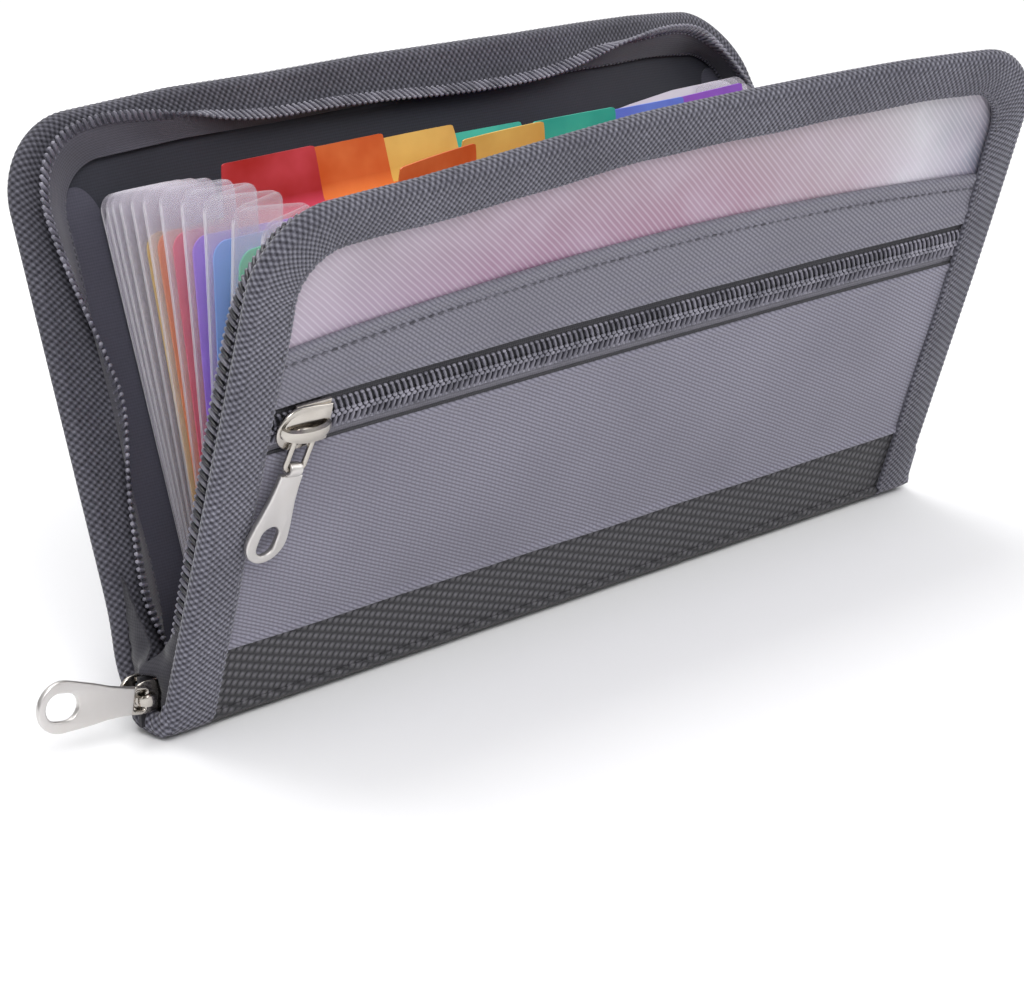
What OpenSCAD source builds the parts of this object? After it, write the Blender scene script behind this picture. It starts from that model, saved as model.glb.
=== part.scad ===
// Zip-around organizer wallet with an accordion of coloured index pockets.
// It stands on its spine with the covers open in a V.
// Frame: X along the width, -Y towards the front cover, +Z up.
// Origin: middle of the spine's underside. All sizes in millimetres.

/* [Covers] */
// Width of the closed wallet
body_w = 190; // [182:1:205]
// Height of a cover, measured from the hinge line
cover_h = 104; // [100:1:110]
// Outer corner radius of the covers
corner_r = 15; // [12:1:18]
// Angle of each cover from upright, as the wallet stands
open_half = 19; // [17:0.5:21]

/* [Binding] */
// Width of the edge tape on the face of a cover
bind_w = 9.5; // [8.5:0.25:10.5]

/* [Pocket zip] */
// Height of the zip chain above the hinge line
pzip_s = 60.3; // [58:0.1:63]
// Width of the slot that shows the zip
pzip_slot = 9.3; // [8.5:0.1:10]
// Travel of the pocket slider
pzip_travel = 150; // [120:1:152]

/* [Window] */
// Lower edge of the window above the hinge line
window_s = 77; // [76:0.5:79]
// Upper edge of the dark base strip above the hinge line
strip_s = 15.3; // [13:0.1:18]

/* [Accordion] */
// Half width over the side pleats
pleat_x = 79; // [76:0.5:80]
// Depth of a side pleat
pleat_d = 13.5; // [11:0.5:14]
// Height of the side pleats above the hinge line
pleat_h = 88.8; // [86:0.2:89]
// Height of a coloured divider at its sides
divider_h = 80; // [76:0.5:81]
// Height of an index tab above the divider
tab_h = 10; // [8:0.5:11]
// Width of an index tab
tab_w = 21.5; // [19:0.5:22]
// Step from one index tab to the next
tab_step = 19.6; // [18:0.2:21]
// Thickness of a divider sheet
sheet_t = 0.3; // [0.25:0.01:0.3]

/* [Pulls] */
// Length of the pocket pull's tab
pull_l = 19.5; // [17:0.5:20]
// Length of the main pull's tab beyond its small frame
main_pull_l = 17.4; // [15:0.2:18]
// Width of a pull tab at its rounded end
pull_w = 9.2; // [8.6:0.1:9.4]
// Thickness of a pull tab
pull_t = 1.1; // [0.9:0.1:1.2]

/* [Hidden] */

$fn = 48;
hx = body_w / 2;          // half width
axis_z = 3;               // height of the hinge line, shared by covers and dividers
edge_t = 1.4;             // thickness of the edge tape
y_in = 2.6;               // binding's inner face, from the hinge line
y_out = 5.8;              // binding's outer face
s0 = 1;                   // lower end of the covers above the hinge line
pull_rise = 14.7;         // the main pull is propped up by this angle
pull_lean = 11;           // the pocket pull leans by this angle
tail_z = 7.8;             // height of the zip tail at the spine's ends
closed_half = 2.5;        // half angle of the closed wallet
meet = 1.4;               // the two coils meet on a plane leaning forward by this angle
col_bind = [0.29, 0.29, 0.33];
col_twill = [0.45, 0.44, 0.49];
col_dark = [0.23, 0.23, 0.25];
col_lining = [0.17, 0.17, 0.2];
col_coil = [0.2, 0.2, 0.22];
col_clear = [0.9, 0.9, 0.93, 0.5];
col_metal = [0.8, 0.8, 0.8];
// Lean of each wall of the accordion, back board first, front divider last (positive to the rear)
lean = [18.5, 17.5, 16.6, 15.2, 13.1, 11, 8, 4.2, 0.3, -4.6, -9.6, -13, -16];
function wall_a(k) = k > 12 ? -18.6 : lean[k] * open_half / 19;
function wall_o(k) = (6.5 - k) * 0.42;
// Point on a wall: x, distance from the hinge line
function wall_p(k, x, r) = [x,
  wall_o(k) * cos(wall_a(k)) + r * sin(wall_a(k)),
  axis_z - wall_o(k) * sin(wall_a(k)) + r * cos(wall_a(k))];
// Colours of the six index groups, rear to front: purple, blue, green, yellow, orange, red
rainbow = [[0.5, 0.22, 0.68], [0.3, 0.42, 0.82], [0.15, 0.65, 0.55], [0.92, 0.75, 0.3], [0.93, 0.45, 0.13], [0.82, 0.13, 0.12]];

// ---------- outlines and frames ----------
// A cover's outline from s = lo upwards, inset all round by d, with rounded top corners
module outline(d, lo) {
  x = hx - d; t = cover_h - d; r = max(corner_r - d, 1);
  translate([-x, lo]) square([2 * x, t - r - lo]);
  translate([-x + r, t - r - 1]) square([2 * (x - r), r + 1]);
  for (i = [-1, 1]) translate([i * (x - r), t - r]) circle(r = r, $fn = 64);
}
// Upright plate in a cover's own frame: outline in X and s, from y0 to y1
module plate(y0, y1) { translate([0, y1, 0]) rotate([90, 0, 0]) linear_extrude(y1 - y0) children(); }
// Cover frames: hinge line at the origin, outside towards -Y
module front_frame() { translate([0, 0, axis_z]) rotate([open_half, 0, 0]) children(); }
module rear_frame() { mirror([0, 1, 0]) front_frame() children(); }
module wall_frame(k) { translate([0, 0, axis_z]) rotate([-wall_a(k), 0, 0]) translate([0, wall_o(k), 0]) children(); }
module band(x, s_lo, s_hi) { translate([-x, s_lo]) square([2 * x, s_hi - s_lo]); }
module oblong(w, l) { translate([-(l - w) / 2, -w / 2]) square([l - w, w]); for (i = [-1, 1]) translate([i * (l - w) / 2, 0]) circle(d = w); }

// ---------- parts that both covers share ----------
module binding_shape(hi) {
  // face tape
  plate(-y_out, -5.2) difference() { outline(0, s0); outline(bind_w, s0 - 1); }
  // edge
  plate(-5.2, -3.2) difference() { outline(0, s0); outline(edge_t, s0 - 1); }
  // inner tape
  plate(-3.2, -y_in) difference() { outline(0, hi); outline(bind_w, hi - 1); }
}
// Wall of zip tape that stands on the binding, up to the plane where the coils meet
module tape_wall(a, d0, d1, y0, y1) {
  intersection() {
    plate(-y_in, 14) difference() { outline(d0, 12); outline(d1, 11); }
    rotate([-a, 0, 0]) translate([-hx, y0, 0]) cube([2 * hx, y1 - y0, cover_h + 10]);
  }
}

// ---------- spine ----------
module spine_wrap() color(col_dark) translate([-hx + edge_t, -4.6, 0]) cube([2 * (hx - edge_t), 9.2, 0.8]);
module spine_board() color(col_lining) translate([-hx + 3, -3.6, 0.8]) cube([2 * (hx - 3), 7.2, 0.8]);
module spine_binding() color(col_bind) for (i = [-1, 1])
  translate([i * (hx - edge_t / 2 + 0.02) - edge_t / 2, -4.6, 0]) cube([edge_t - 0.04, 9.2, 1.1]);
module zip_tail(i, len) {
  // tape with the closed chain on it
  translate([i * (hx - 11 + len / 2) - len / 2, -0.35, 1.6]) cube([len, 0.7, tail_z + 1.4]);
  for (j = [-1, 1]) translate([i * (hx - 11 + len / 2) - len / 2, j * 0.65 - 0.3, tail_z - 1.6]) cube([len, 0.6, 3.2]);
}
module zip_tail_left() color(col_coil) zip_tail(-1, 12.9);
module zip_tail_right() color(col_coil) zip_tail(1, 9);
module zip_end_stop() color(col_metal) for (i = [-1, 1]) translate([i * (hx - 9.5) - 0.8, 0, tail_z]) difference() {
  translate([0, -1.6, -2.2]) cube([1.6, 3.2, 4.4]);
  translate([-1, -0.96, -1.62]) cube([4, 1.92, 3.24]);
  translate([-1, -0.36, -3]) cube([4, 0.72, 6]);
}

// ---------- front cover ----------
module front_board() color(col_clear) front_frame() plate(-3.7, -3.2) outline(edge_t, s0);
module front_base_strip() color(col_dark) front_frame() plate(-5.2, -4.6) band(hx - edge_t, s0, strip_s);
module front_lower_panel() color(col_twill) front_frame() plate(-5.2, -4.6) band(hx - edge_t, strip_s, pzip_s - pzip_slot / 2);
module front_upper_band() color(col_twill) front_frame() plate(-5.2, -4.6) band(hx - edge_t, pzip_s + pzip_slot / 2, window_s);
module front_binding() color(col_bind) front_frame() binding_shape(s0 + 11);
module pocket_zip_tapes() color(col_bind) front_frame() plate(-4.6, -4.2) difference() {
  band(hx - edge_t, pzip_s - 7.5, pzip_s + 7.5);
  band(hx - 7, pzip_s - 0.15, pzip_s + 0.15);
}
module pocket_zip_coil() color(col_coil) front_frame() for (j = [-1, 1])
  plate(-5.6, -4.6) translate([-hx + bind_w, pzip_s + j * 1.6 - 1.4]) square([2 * (hx - bind_w), 2.8]);
module front_zip_tape() color(col_bind) front_frame() tape_wall(closed_half - meet, 2, 2.8, -10, -0.15);
module front_zip_coil() color(col_coil) front_frame() tape_wall(closed_half - meet, 0.9, 2, -1.45, -0.15);

// ---------- pocket slider and its pull ----------
psl_x = -hx + 16;   // middle of the slider
module pocket_frame() { front_frame() translate([psl_x, 0, pzip_s]) children(); }
// Slider body: face plate, side flanges, and a bridge that the pull hangs on
module pocket_slider() color(col_metal) pocket_frame() {
  plate(-6.6, -5.8) union() {
    translate([-1.5, 0]) circle(r = 4.1);
    translate([-1.5, -3.6]) square([6.5, 7.2]);
  }
  for (j = [-1, 1]) plate(-5.8, -5.25) translate([-2, j * 3.75 - 0.4]) square([7, 0.8]);
  // bridge: two posts and a bar along the chain
  for (x = [-5.3, 3.7]) plate(-8.1, -6.6) translate([x, -0.6]) square([0.9, 1.2]);
  plate(-9.1, -8.1) translate([-5.3, -0.9]) square([9.9, 1.8]);
}
// The link is a small frame; its upper bar lies under the bridge
link_l = 8;
module pocket_pull_frame() { pocket_frame() translate([-0.35, -7.35, 0]) rotate([0, pull_lean, 0]) children(); }
module pocket_pull_link() color(col_metal) pocket_pull_frame() {
  // local frame: the link hangs along -Z
  translate([-2.5, -0.5, -0.5]) cube([5, 1, 1]);
  for (i = [-1, 1]) translate([i * 2 - 0.5, -0.5, -link_l]) cube([1, 1, link_l + 0.2]);
  translate([-2.2, 0, -link_l + 0.5]) rotate([0, 90, 0]) cylinder(r = 0.5, h = 4.4);
}
// Pull tab: wraps the link's lower bar, widens to a round end with an oblong hole
module tab_plate(len) {
  // along +X from the wrapped end
  c = len - pull_w / 2;
  difference() {
    union() {
      polygon([[0, -2.3], [3, -2.4], [c - 2.4, -pull_w / 2 + 0.35], [c, -pull_w / 2], [c, pull_w / 2],
               [c - 2.4, pull_w / 2 - 0.35], [3, 2.4], [0, 2.3]]);
      translate([c, 0]) circle(d = pull_w);
    }
    translate([c - 0.3, 0]) oblong(5.2, 6.2);
  }
}
module pocket_pull_tab() color(col_metal) pocket_pull_frame() translate([0, 0, -link_l + 0.5]) {
  // knuckle round the link's lower bar, between its sides
  difference() {
    union() {
      translate([-1.3, 0, 0]) rotate([0, 90, 0]) cylinder(r = 1.3, h = 2.6);
      translate([-1.3, -pull_t / 2, -1.8]) cube([2.6, pull_t, 1]);
      translate([0, pull_t / 2, -1.1]) rotate([0, 90, 90]) mirror([0, 0, 1]) linear_extrude(pull_t) tab_plate(pull_l);
    }
    translate([-3, 0, 0]) rotate([0, 90, 0]) cylinder(r = 0.56, h = 6);
  }
}

// ---------- rear cover ----------
module rear_board() color(col_lining) rear_frame() plate(-4.6, -4.0) outline(edge_t, s0);
module rear_outer_panel() color(col_twill) rear_frame() plate(-5.2, -4.6) difference() { outline(edge_t, strip_s); band(hx, 0, strip_s); }
module rear_base_strip() color(col_dark) rear_frame() plate(-5.2, -4.6) band(hx - edge_t, s0, strip_s);
module rear_lining() color(col_lining) rear_frame() plate(-4.0, -3.6) outline(edge_t, s0);
module rear_slip_pocket() color(col_lining) rear_frame() plate(-3.6, -3.2) difference() {
  outline(edge_t, s0);
  translate([-hx, 88]) square([body_w, 40]);
  translate([-hx + 19, 78]) square([body_w - 38, 40]);
  for (i = [-1, 1]) difference() {
    translate([i * (hx - 17) - 2.2, 78]) square([4.4, 11]);
    translate([i * (hx - 14.6) - 2, 84]) circle(r = 4);
  }
}
module rear_binding() color(col_bind) rear_frame() binding_shape(s0 + 11);
module rear_zip_tape() color(col_bind) rear_frame() tape_wall(closed_half + meet, 2, 2.8, -10, -0.15);
module rear_zip_coil() color(col_coil) rear_frame() tape_wall(closed_half + meet, 0.9, 2, -1.45, -0.15);

// ---------- main slider and its pull ----------
module main_frame() { translate([-hx, 0, tail_z]) children(); }
module main_slider() color(col_metal) main_frame() {
  // two plates, the front one carrying the bridge
  for (j = [-1, 1]) plate(j * 1.8 - 0.35, j * 1.8 + 0.35) union() {
    translate([-1.8, 0]) circle(r = 3);
    translate([-1.8, -2.6]) square([6, 5.2]);
  }
  // post between the two coils at the outer end
  plate(-1.45, 1.45) translate([-3.9, -0.7]) square([1.5, 1.4]);
  // flanges
  for (j = [-1, 1], k = [-1, 1]) translate([-1.5, k * 1.25 - 0.2, j * 2.3 - 0.3]) cube([5.5, 0.4, 0.6]);
  // bridge
  for (x = [-4.3, -1.3]) plate(-3.5, -2.15) translate([x, -0.9]) square([0.9, 1.8]);
  plate(-4.3, -3.5) translate([-4.3, -0.9]) square([3.9, 1.8]);
}
module main_pull_tab() color(col_metal) main_frame() translate([-2.4, -2.85, 0]) {
  // round bar under the bridge, on the pull's own axis
  translate([0, 0, -2.2]) cylinder(r = 0.45, h = 4.4);
  // small frame round the bridge's post, then the flat tab along -X
  intersection() {
    rotate([0, pull_rise, 0]) {
      for (j = [-1, 1]) translate([-3.3, -0.45, j * 2.175 - 0.425]) cube([4.5, 0.9, 0.85]);
      translate([-3.3, -0.45, -2.6]) cube([0.7, 0.9, 5.2]);
      translate([-3.2, pull_t / 2, 0]) rotate([90, 0, 0]) mirror([1, 0, 0]) linear_extrude(pull_t) tab_plate(main_pull_l);
    }
    translate([-30, -5, -20]) cube([30.3, 10, 40]);
  }
}

// ---------- accordion ----------
module back_board() color(col_clear) wall_frame(0) plate(-sheet_t / 2, sheet_t / 2) {
  translate([-pleat_x + 0.3, 2]) square([2 * pleat_x - 0.6, pleat_h - 8]);
  translate([-pleat_x + 6.3, pleat_h - 7]) square([2 * pleat_x - 12.6, 7]);
  for (i = [-1, 1]) translate([i * (pleat_x - 6.3), pleat_h - 6]) circle(r = 6);
}
module divider(k) {
  g = (k - 1) % 6;                    // place in its group of six, 0 at the rear
  tx = -66 + (5 - g) * tab_step;
  x = pleat_x - 1.5;
  color(rainbow[g]) wall_frame(k) plate(-sheet_t / 2, sheet_t / 2) {
    polygon([[-x, 2], [x, 2], [x, divider_h - 3], [x - 3, divider_h - 3], [x - 3, divider_h],
             [tx + tab_w + 0.6, divider_h], [tx + tab_w, divider_h + tab_h - 1.5], [tx + tab_w - 1.2, divider_h + tab_h],
             [tx + 1.2, divider_h + tab_h], [tx, divider_h + tab_h - 1.5], [tx - 0.6, divider_h],
             [3 - x, divider_h], [3 - x, divider_h - 3], [-x, divider_h - 3]]);
    for (i = [-1, 1]) translate([i * (x - 3), divider_h - 3]) circle(r = 3);
  }
}
module divider_01() divider(1);
module divider_02() divider(2);
module divider_03() divider(3);
module divider_04() divider(4);
module divider_05() divider(5);
module divider_06() divider(6);
module divider_07() divider(7);
module divider_08() divider(8);
module divider_09() divider(9);
module divider_10() divider(10);
module divider_11() divider(11);
module divider_12() divider(12);

// Side pleats between wall k-1 and wall k: two flat strips that fold inwards from the walls' ends
// and meet on the plane halfway between the walls. They start where the walls are far enough apart.
film = 0.22;
room = 0.32;
// Where the planes of the two walls cross: y, z above the hinge line
function cross_p(k) = let (a = wall_a(k - 1), c = wall_a(k), o = wall_o(k - 1), q = wall_o(k), d = sin(a - c))
  [(q * sin(a) - o * sin(c)) / d, (q * cos(a) - o * cos(c)) / d];
// That crossing, as a distance along a wall leaning by a
function cross_r(k, a) = let (p = cross_p(k)) p[0] * sin(a) + p[1] * cos(a);
function half_gap(k, a, r) = (r - cross_r(k, a)) * sin((wall_a(k - 1) - wall_a(k)) / 2);
function strip_a(k, a) = atan((half_gap(k, a, pleat_h) - room) / pleat_d);
function strip_r(k, a) = max(8, cross_r(k, a) + (room + film + 0.1) / sin((wall_a(k - 1) - wall_a(k)) / 2));
// Half of the space, split halfway between the walls; j = 1 is the rear half
module half_space(k, j) { p = cross_p(k); translate([0, p[0], axis_z + p[1]]) rotate([-(wall_a(k - 1) + wall_a(k)) / 2, 0, 0])
  translate([-100, j > 0 ? -0.03 : -39.97, -60]) cube([200, 40, 300]); }
module pleat_strip(k, j, i) {
  w = j > 0 ? k - 1 : k; a = wall_a(w);
  intersection() {
    wall_frame(w) translate([i * pleat_x, -j * room, strip_r(k, a)]) rotate([0, 0, i * j * strip_a(k, a)])
      translate([i > 0 ? -17 : 0, j > 0 ? -film : 0, 0]) cube([17, film, pleat_h - strip_r(k, a)]);
    half_space(k, j);
  }
}
module gusset(k) color(col_clear) for (i = [-1, 1], j = [-1, 1]) pleat_strip(k, j, i);
module gusset_01() gusset(1);
module gusset_02() gusset(2);
module gusset_03() gusset(3);
module gusset_04() gusset(4);
module gusset_05() gusset(5);
module gusset_06() gusset(6);
module gusset_07() gusset(7);
module gusset_08() gusset(8);
module gusset_09() gusset(9);
module gusset_10() gusset(10);
module gusset_11() gusset(11);
module gusset_12() gusset(12);
module gusset_13() gusset(13);

spine_wrap();
spine_board();
spine_binding();
zip_tail_left();
zip_tail_right();
zip_end_stop();
front_board();
front_base_strip();
front_lower_panel();
front_upper_band();
front_binding();
pocket_zip_tapes();
pocket_zip_coil();
front_zip_tape();
front_zip_coil();
pocket_slider();
pocket_pull_link();
pocket_pull_tab();
rear_board();
rear_outer_panel();
rear_base_strip();
rear_lining();
rear_slip_pocket();
rear_binding();
rear_zip_tape();
rear_zip_coil();
main_slider();
main_pull_tab();
back_board();
divider_01();
divider_02();
divider_03();
divider_04();
divider_05();
divider_06();
divider_07();
divider_08();
divider_09();
divider_10();
divider_11();
divider_12();
gusset_01();
gusset_02();
gusset_03();
gusset_04();
gusset_05();
gusset_06();
gusset_07();
gusset_08();
gusset_09();
gusset_10();
gusset_11();
gusset_12();
gusset_13();
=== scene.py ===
import bpy, bmesh, math
import numpy as np
from mathutils import Matrix, Vector


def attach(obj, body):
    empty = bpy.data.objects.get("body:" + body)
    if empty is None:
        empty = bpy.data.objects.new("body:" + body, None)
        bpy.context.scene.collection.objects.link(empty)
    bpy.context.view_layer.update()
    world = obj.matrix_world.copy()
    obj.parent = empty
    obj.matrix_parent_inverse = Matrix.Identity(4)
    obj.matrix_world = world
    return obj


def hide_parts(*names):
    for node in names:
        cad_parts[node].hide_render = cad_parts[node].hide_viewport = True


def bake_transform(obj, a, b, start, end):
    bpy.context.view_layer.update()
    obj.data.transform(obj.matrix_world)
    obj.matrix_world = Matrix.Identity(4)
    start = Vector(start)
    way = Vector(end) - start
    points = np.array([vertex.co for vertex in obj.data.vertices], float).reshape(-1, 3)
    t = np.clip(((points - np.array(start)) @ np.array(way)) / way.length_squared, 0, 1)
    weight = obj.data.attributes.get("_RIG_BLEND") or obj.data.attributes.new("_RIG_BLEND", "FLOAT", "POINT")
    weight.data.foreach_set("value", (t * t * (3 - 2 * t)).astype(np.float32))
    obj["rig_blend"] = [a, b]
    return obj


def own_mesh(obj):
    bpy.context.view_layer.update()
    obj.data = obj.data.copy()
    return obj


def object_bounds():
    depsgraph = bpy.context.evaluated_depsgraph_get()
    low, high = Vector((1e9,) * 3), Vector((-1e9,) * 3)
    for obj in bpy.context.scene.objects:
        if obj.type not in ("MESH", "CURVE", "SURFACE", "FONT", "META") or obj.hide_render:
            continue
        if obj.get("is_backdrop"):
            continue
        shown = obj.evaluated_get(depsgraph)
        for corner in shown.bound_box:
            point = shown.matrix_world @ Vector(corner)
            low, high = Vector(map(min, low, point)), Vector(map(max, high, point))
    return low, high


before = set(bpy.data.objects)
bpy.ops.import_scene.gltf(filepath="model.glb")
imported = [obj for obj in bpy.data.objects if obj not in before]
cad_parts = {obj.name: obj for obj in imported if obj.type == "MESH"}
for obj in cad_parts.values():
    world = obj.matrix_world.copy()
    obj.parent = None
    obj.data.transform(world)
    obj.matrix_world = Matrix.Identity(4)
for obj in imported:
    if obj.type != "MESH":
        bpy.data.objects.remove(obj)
cad_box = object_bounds()

# Everything below is worked out in millimetres in the row frame and scaled to metres at the end.
MM = 0.001
HX, H = 95.0, 104.0
AZ = 3.0
TH = math.radians(19)
C, S = math.cos(TH), math.sin(TH)
LEAN = [18.5, 17.5, 16.6, 15.2, 13.1, 11, 8, 4.2, 0.3, -4.6, -9.6, -13, -16, -18.6]


def arr(*a):
    return [np.asarray(q, float) for q in np.broadcast_arrays(*a)]


def ss(t):
    t = np.clip(t, 0, 1)
    return t * t * (3 - 2 * t)


def wave(x, s, k=1.0, ph=0.0):
    """Slow waviness of cloth, from -1 to 1."""
    return (np.sin(x * 0.071 * k + s * 0.043 + 1.3 + ph) * np.sin(s * 0.089 * k - x * 0.031 + 0.4 + ph)
            + 0.5 * np.sin(x * 0.17 * k - s * 0.11 + 2.2 + ph)) / 1.5


def bow_front(x, s):
    t = np.clip((s - 30) / 74, 0, None)
    return 5.0 * (1 - (x / 95) ** 2) * t ** 1.78


def bow_rear(x, s):
    return -1.5 * np.exp(-((s - 9) / 6.5) ** 2) - 10 * ss((x - 15) / 80) * np.clip(s / 104, 0, 2) ** 1.4


def sag_front(x, s):
    """The front cover's top edge hangs a little low, more towards the left."""
    d = np.interp(x, [-95, -80, -60, -45, -25, -9, 15, 56, 80, 95], [2.4, 3.0, 3.5, 3.2, 2.4, 1.7, 1.6, 1.4, 1.8, 2.2])
    return d * ss((s - 72) / 32)


def FP(x, y, s, bow=True):
    x, y, s = arr(x, y, s)
    if bow:
        y, s, x = y + bow_front(x, s), s - sag_front(x, s), x - ss((x - 60) / 35) * (1.1 + 0.9 * ss((s - 50) / 50))
    return np.stack([x, y * C - s * S, AZ + y * S + s * C], -1)


def sag_rear(x, s):
    """The rear cover's top edge stands a little high at the left and drops towards its right corner."""
    d = np.interp(x, [-95, -80, -58, -37, -14, 24, 44, 60, 74, 95], [0, -0.4, -1.1, -0.6, -0.5, 0.7, 0.9, 1.2, 1.8, 3.2])
    return d * ss((s - 70) / 34)


def RP(x, y, s, bow=True):
    x, y, s = arr(x, y, s)
    if bow:
        y, s, x = y + bow_rear(x, s), s - sag_rear(x, s), x - 4.2 * ss((x - 58) / 37) * ss((s - 45) / 55)
    return np.stack([x, -(y * C - s * S), AZ + y * S + s * C], -1)


# ---------------------------------------------------------------- materials
class Nodes:
    def __init__(self, name):
        self.m = bpy.data.materials.new(name)
        self.m.use_nodes = True
        self.t = self.m.node_tree
        self.t.nodes.clear()
        self.out = self.t.nodes.new("ShaderNodeOutputMaterial")
        self.bsdf = self.t.nodes.new("ShaderNodeBsdfPrincipled")
        self.t.links.new(self.bsdf.outputs[0], self.out.inputs[0])

    def put(self, sock, v):
        if hasattr(v, "links") or hasattr(v, "is_linked"):
            self.t.links.new(v, sock)
        else:
            sock.default_value = v

    def n(self, kind, out=0, props=None, **ins):
        nd = self.t.nodes.new(kind)
        for k, v in (props or {}).items():
            setattr(nd, k, v)
        for k, v in ins.items():
            key = int(k[1:]) if k[0] == "i" and k[1:].isdigit() else k.replace("_", " ")
            self.put(nd.inputs[key], v)
        return nd.outputs[out]

    def math(self, op, a, b=0.0, c=0.0, clamp=False):
        nd = self.t.nodes.new("ShaderNodeMath")
        nd.operation = op
        nd.use_clamp = clamp
        self.put(nd.inputs[0], a)
        self.put(nd.inputs[1], b)
        if len(nd.inputs) > 2:
            self.put(nd.inputs[2], c)
        return nd.outputs[0]

    def uv(self):
        """u and v of the piece's own map, in millimetres."""
        nd = self.t.nodes.new("ShaderNodeUVMap")
        nd.uv_map = "MM"
        sp = self.t.nodes.new("ShaderNodeSeparateXYZ")
        self.t.links.new(nd.outputs[0], sp.inputs[0])
        return sp.outputs[0], sp.outputs[1], nd.outputs[0]

    def noise(self, vec, scale, detail=2.0, rough=0.5):
        return self.n("ShaderNodeTexNoise", 0, Vector=vec, Scale=scale, Detail=detail, Roughness=rough)

    def obj(self, out=3):
        return self.t.nodes.new("ShaderNodeTexCoord").outputs[out]

    def mix(self, f, a, b):
        nd = self.t.nodes.new("ShaderNodeMix")
        nd.data_type = "RGBA"
        self.put(nd.inputs[0], f)
        self.put(nd.inputs[6], a)
        self.put(nd.inputs[7], b)
        return nd.outputs[2]

    def ramp(self, f, *stops):
        nd = self.t.nodes.new("ShaderNodeValToRGB")
        el = nd.color_ramp.elements
        while len(el) < len(stops):
            el.new(0.5)
        for e, (p, c) in zip(el, stops):
            e.position = p
            e.color = c if len(c) == 4 else (*c, 1)
        self.put(nd.inputs[0], f)
        return nd.outputs[0]

    def maprange(self, v, a, b, c=0.0, d=1.0):
        return self.n("ShaderNodeMapRange", 0, Value=v, i1=a, i2=b, i3=c, i4=d)

    def bump(self, h, strength, dist, normal=None):
        nd = self.t.nodes.new("ShaderNodeBump")
        nd.inputs["Strength"].default_value = strength
        nd.inputs["Distance"].default_value = dist
        self.t.links.new(h, nd.inputs["Height"])
        if normal is not None:
            self.t.links.new(normal, nd.inputs["Normal"])
        return nd.outputs[0]

    def set(self, **kw):
        for k, v in kw.items():
            self.put(self.bsdf.inputs[k.replace("_", " ")], v)
        return self.m


def lin(r, g, b):
    f = lambda c: (c / 255 / 12.92) if c / 255 <= 0.04045 else ((c / 255 + 0.055) / 1.055) ** 2.4
    return (f(r), f(g), f(b), 1)


def pebble_mat(name, dark, mid, light, pu=1.28, pv=0.74, bump=0.45, far_painted_shade=0.0):
    """Coarse tape: staggered pebbles along the tape, darker between them."""
    k = Nodes(name)
    u, v, uv = k.uv()
    hu = k.math("COSINE", k.math("MULTIPLY", u, 2 * math.pi / pu))
    hv = k.math("COSINE", k.math("MULTIPLY", v, math.pi / pv))
    h = k.math("ADD", 0.5, k.math("MULTIPLY", k.math("MULTIPLY", hu, hv), 0.5))
    fine = k.noise(uv, 3.4, 4.0)
    mid_ = k.noise(uv, 0.9, 2.0)
    tone = k.math("ADD", k.math("MULTIPLY", h, 0.62), k.math("ADD", k.math("MULTIPLY", fine, 0.45), k.math("MULTIPLY", k.math("SUBTRACT", mid_, 0.5), 0.35)))
    col = k.ramp(tone, (0.22, dark), (0.55, mid), (0.95, light))
    big = k.noise(uv, 0.05, 3.0)
    col = k.mix(k.maprange(big, 0.35, 0.7, 0.0, 0.3), col, (dark[0] * 0.9, dark[1] * 0.9, dark[2] * 0.95, 1))
    if far_painted_shade:
        # painted shade: past the first corner, along the top run and down the right side, the tape is mixed towards a
        # darker tone
        col = k.mix(k.maprange(u, 84.0, 118.0, 0.0, far_painted_shade), col, (dark[0] * 0.8, dark[1] * 0.8, dark[2] * 0.85, 1))
    hh = k.math("ADD", h, k.math("MULTIPLY", fine, 0.3))
    nrm = k.bump(hh, bump, 0.00035)
    return k.set(Base_Color=col, Roughness=0.82, Normal=nrm, Sheen_Weight=0.25, Sheen_Roughness=0.4,
                 Specular_IOR_Level=0.25)


def twill_mat(name, dark, mid, light, angle=-27.0, pitch=0.87, bump=0.45):
    """Diagonal twill: fine ribs at an angle, broken into floats."""
    k = Nodes(name)
    u, v, uv = k.uv()
    a = math.radians(angle)
    warp = k.math("MULTIPLY", k.math("SUBTRACT", k.noise(uv, 0.12), 0.5), 0.5)
    w = k.math("ADD", k.math("ADD", k.math("MULTIPLY", u, -math.sin(a) / pitch), k.math("MULTIPLY", v, math.cos(a) / pitch)), warp)
    rib = k.math("ABSOLUTE", k.math("SINE", k.math("MULTIPLY", w, math.pi)))
    al = k.math("ADD", k.math("MULTIPLY", u, math.cos(a) / 1.15), k.math("MULTIPLY", v, math.sin(a) / 1.15))
    al = k.math("ADD", al, k.math("MULTIPLY", k.math("FLOOR", w), 0.37))
    fl = k.math("ABSOLUTE", k.math("SINE", k.math("MULTIPLY", al, math.pi)))
    h = k.math("MULTIPLY", k.math("POWER", rib, 0.6), k.math("ADD", 0.76, k.math("MULTIPLY", fl, 0.24)))
    fine = k.noise(uv, 2.6, 3.0)
    tone = k.math("ADD", k.math("MULTIPLY", h, 0.75), k.math("MULTIPLY", fine, 0.4))
    col = k.ramp(tone, (0.22, dark), (0.66, mid), (1.02, light))
    big = k.noise(uv, 0.035, 3.0)
    col = k.mix(k.maprange(big, 0.35, 0.7, 0.0, 0.22), col, dark)
    nrm = k.bump(k.math("ADD", h, k.math("MULTIPLY", fine, 0.25)), bump, 0.00022)
    return k.set(Base_Color=col, Roughness=0.78, Normal=nrm, Sheen_Weight=0.3, Sheen_Roughness=0.4,
                 Specular_IOR_Level=0.25)


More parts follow.
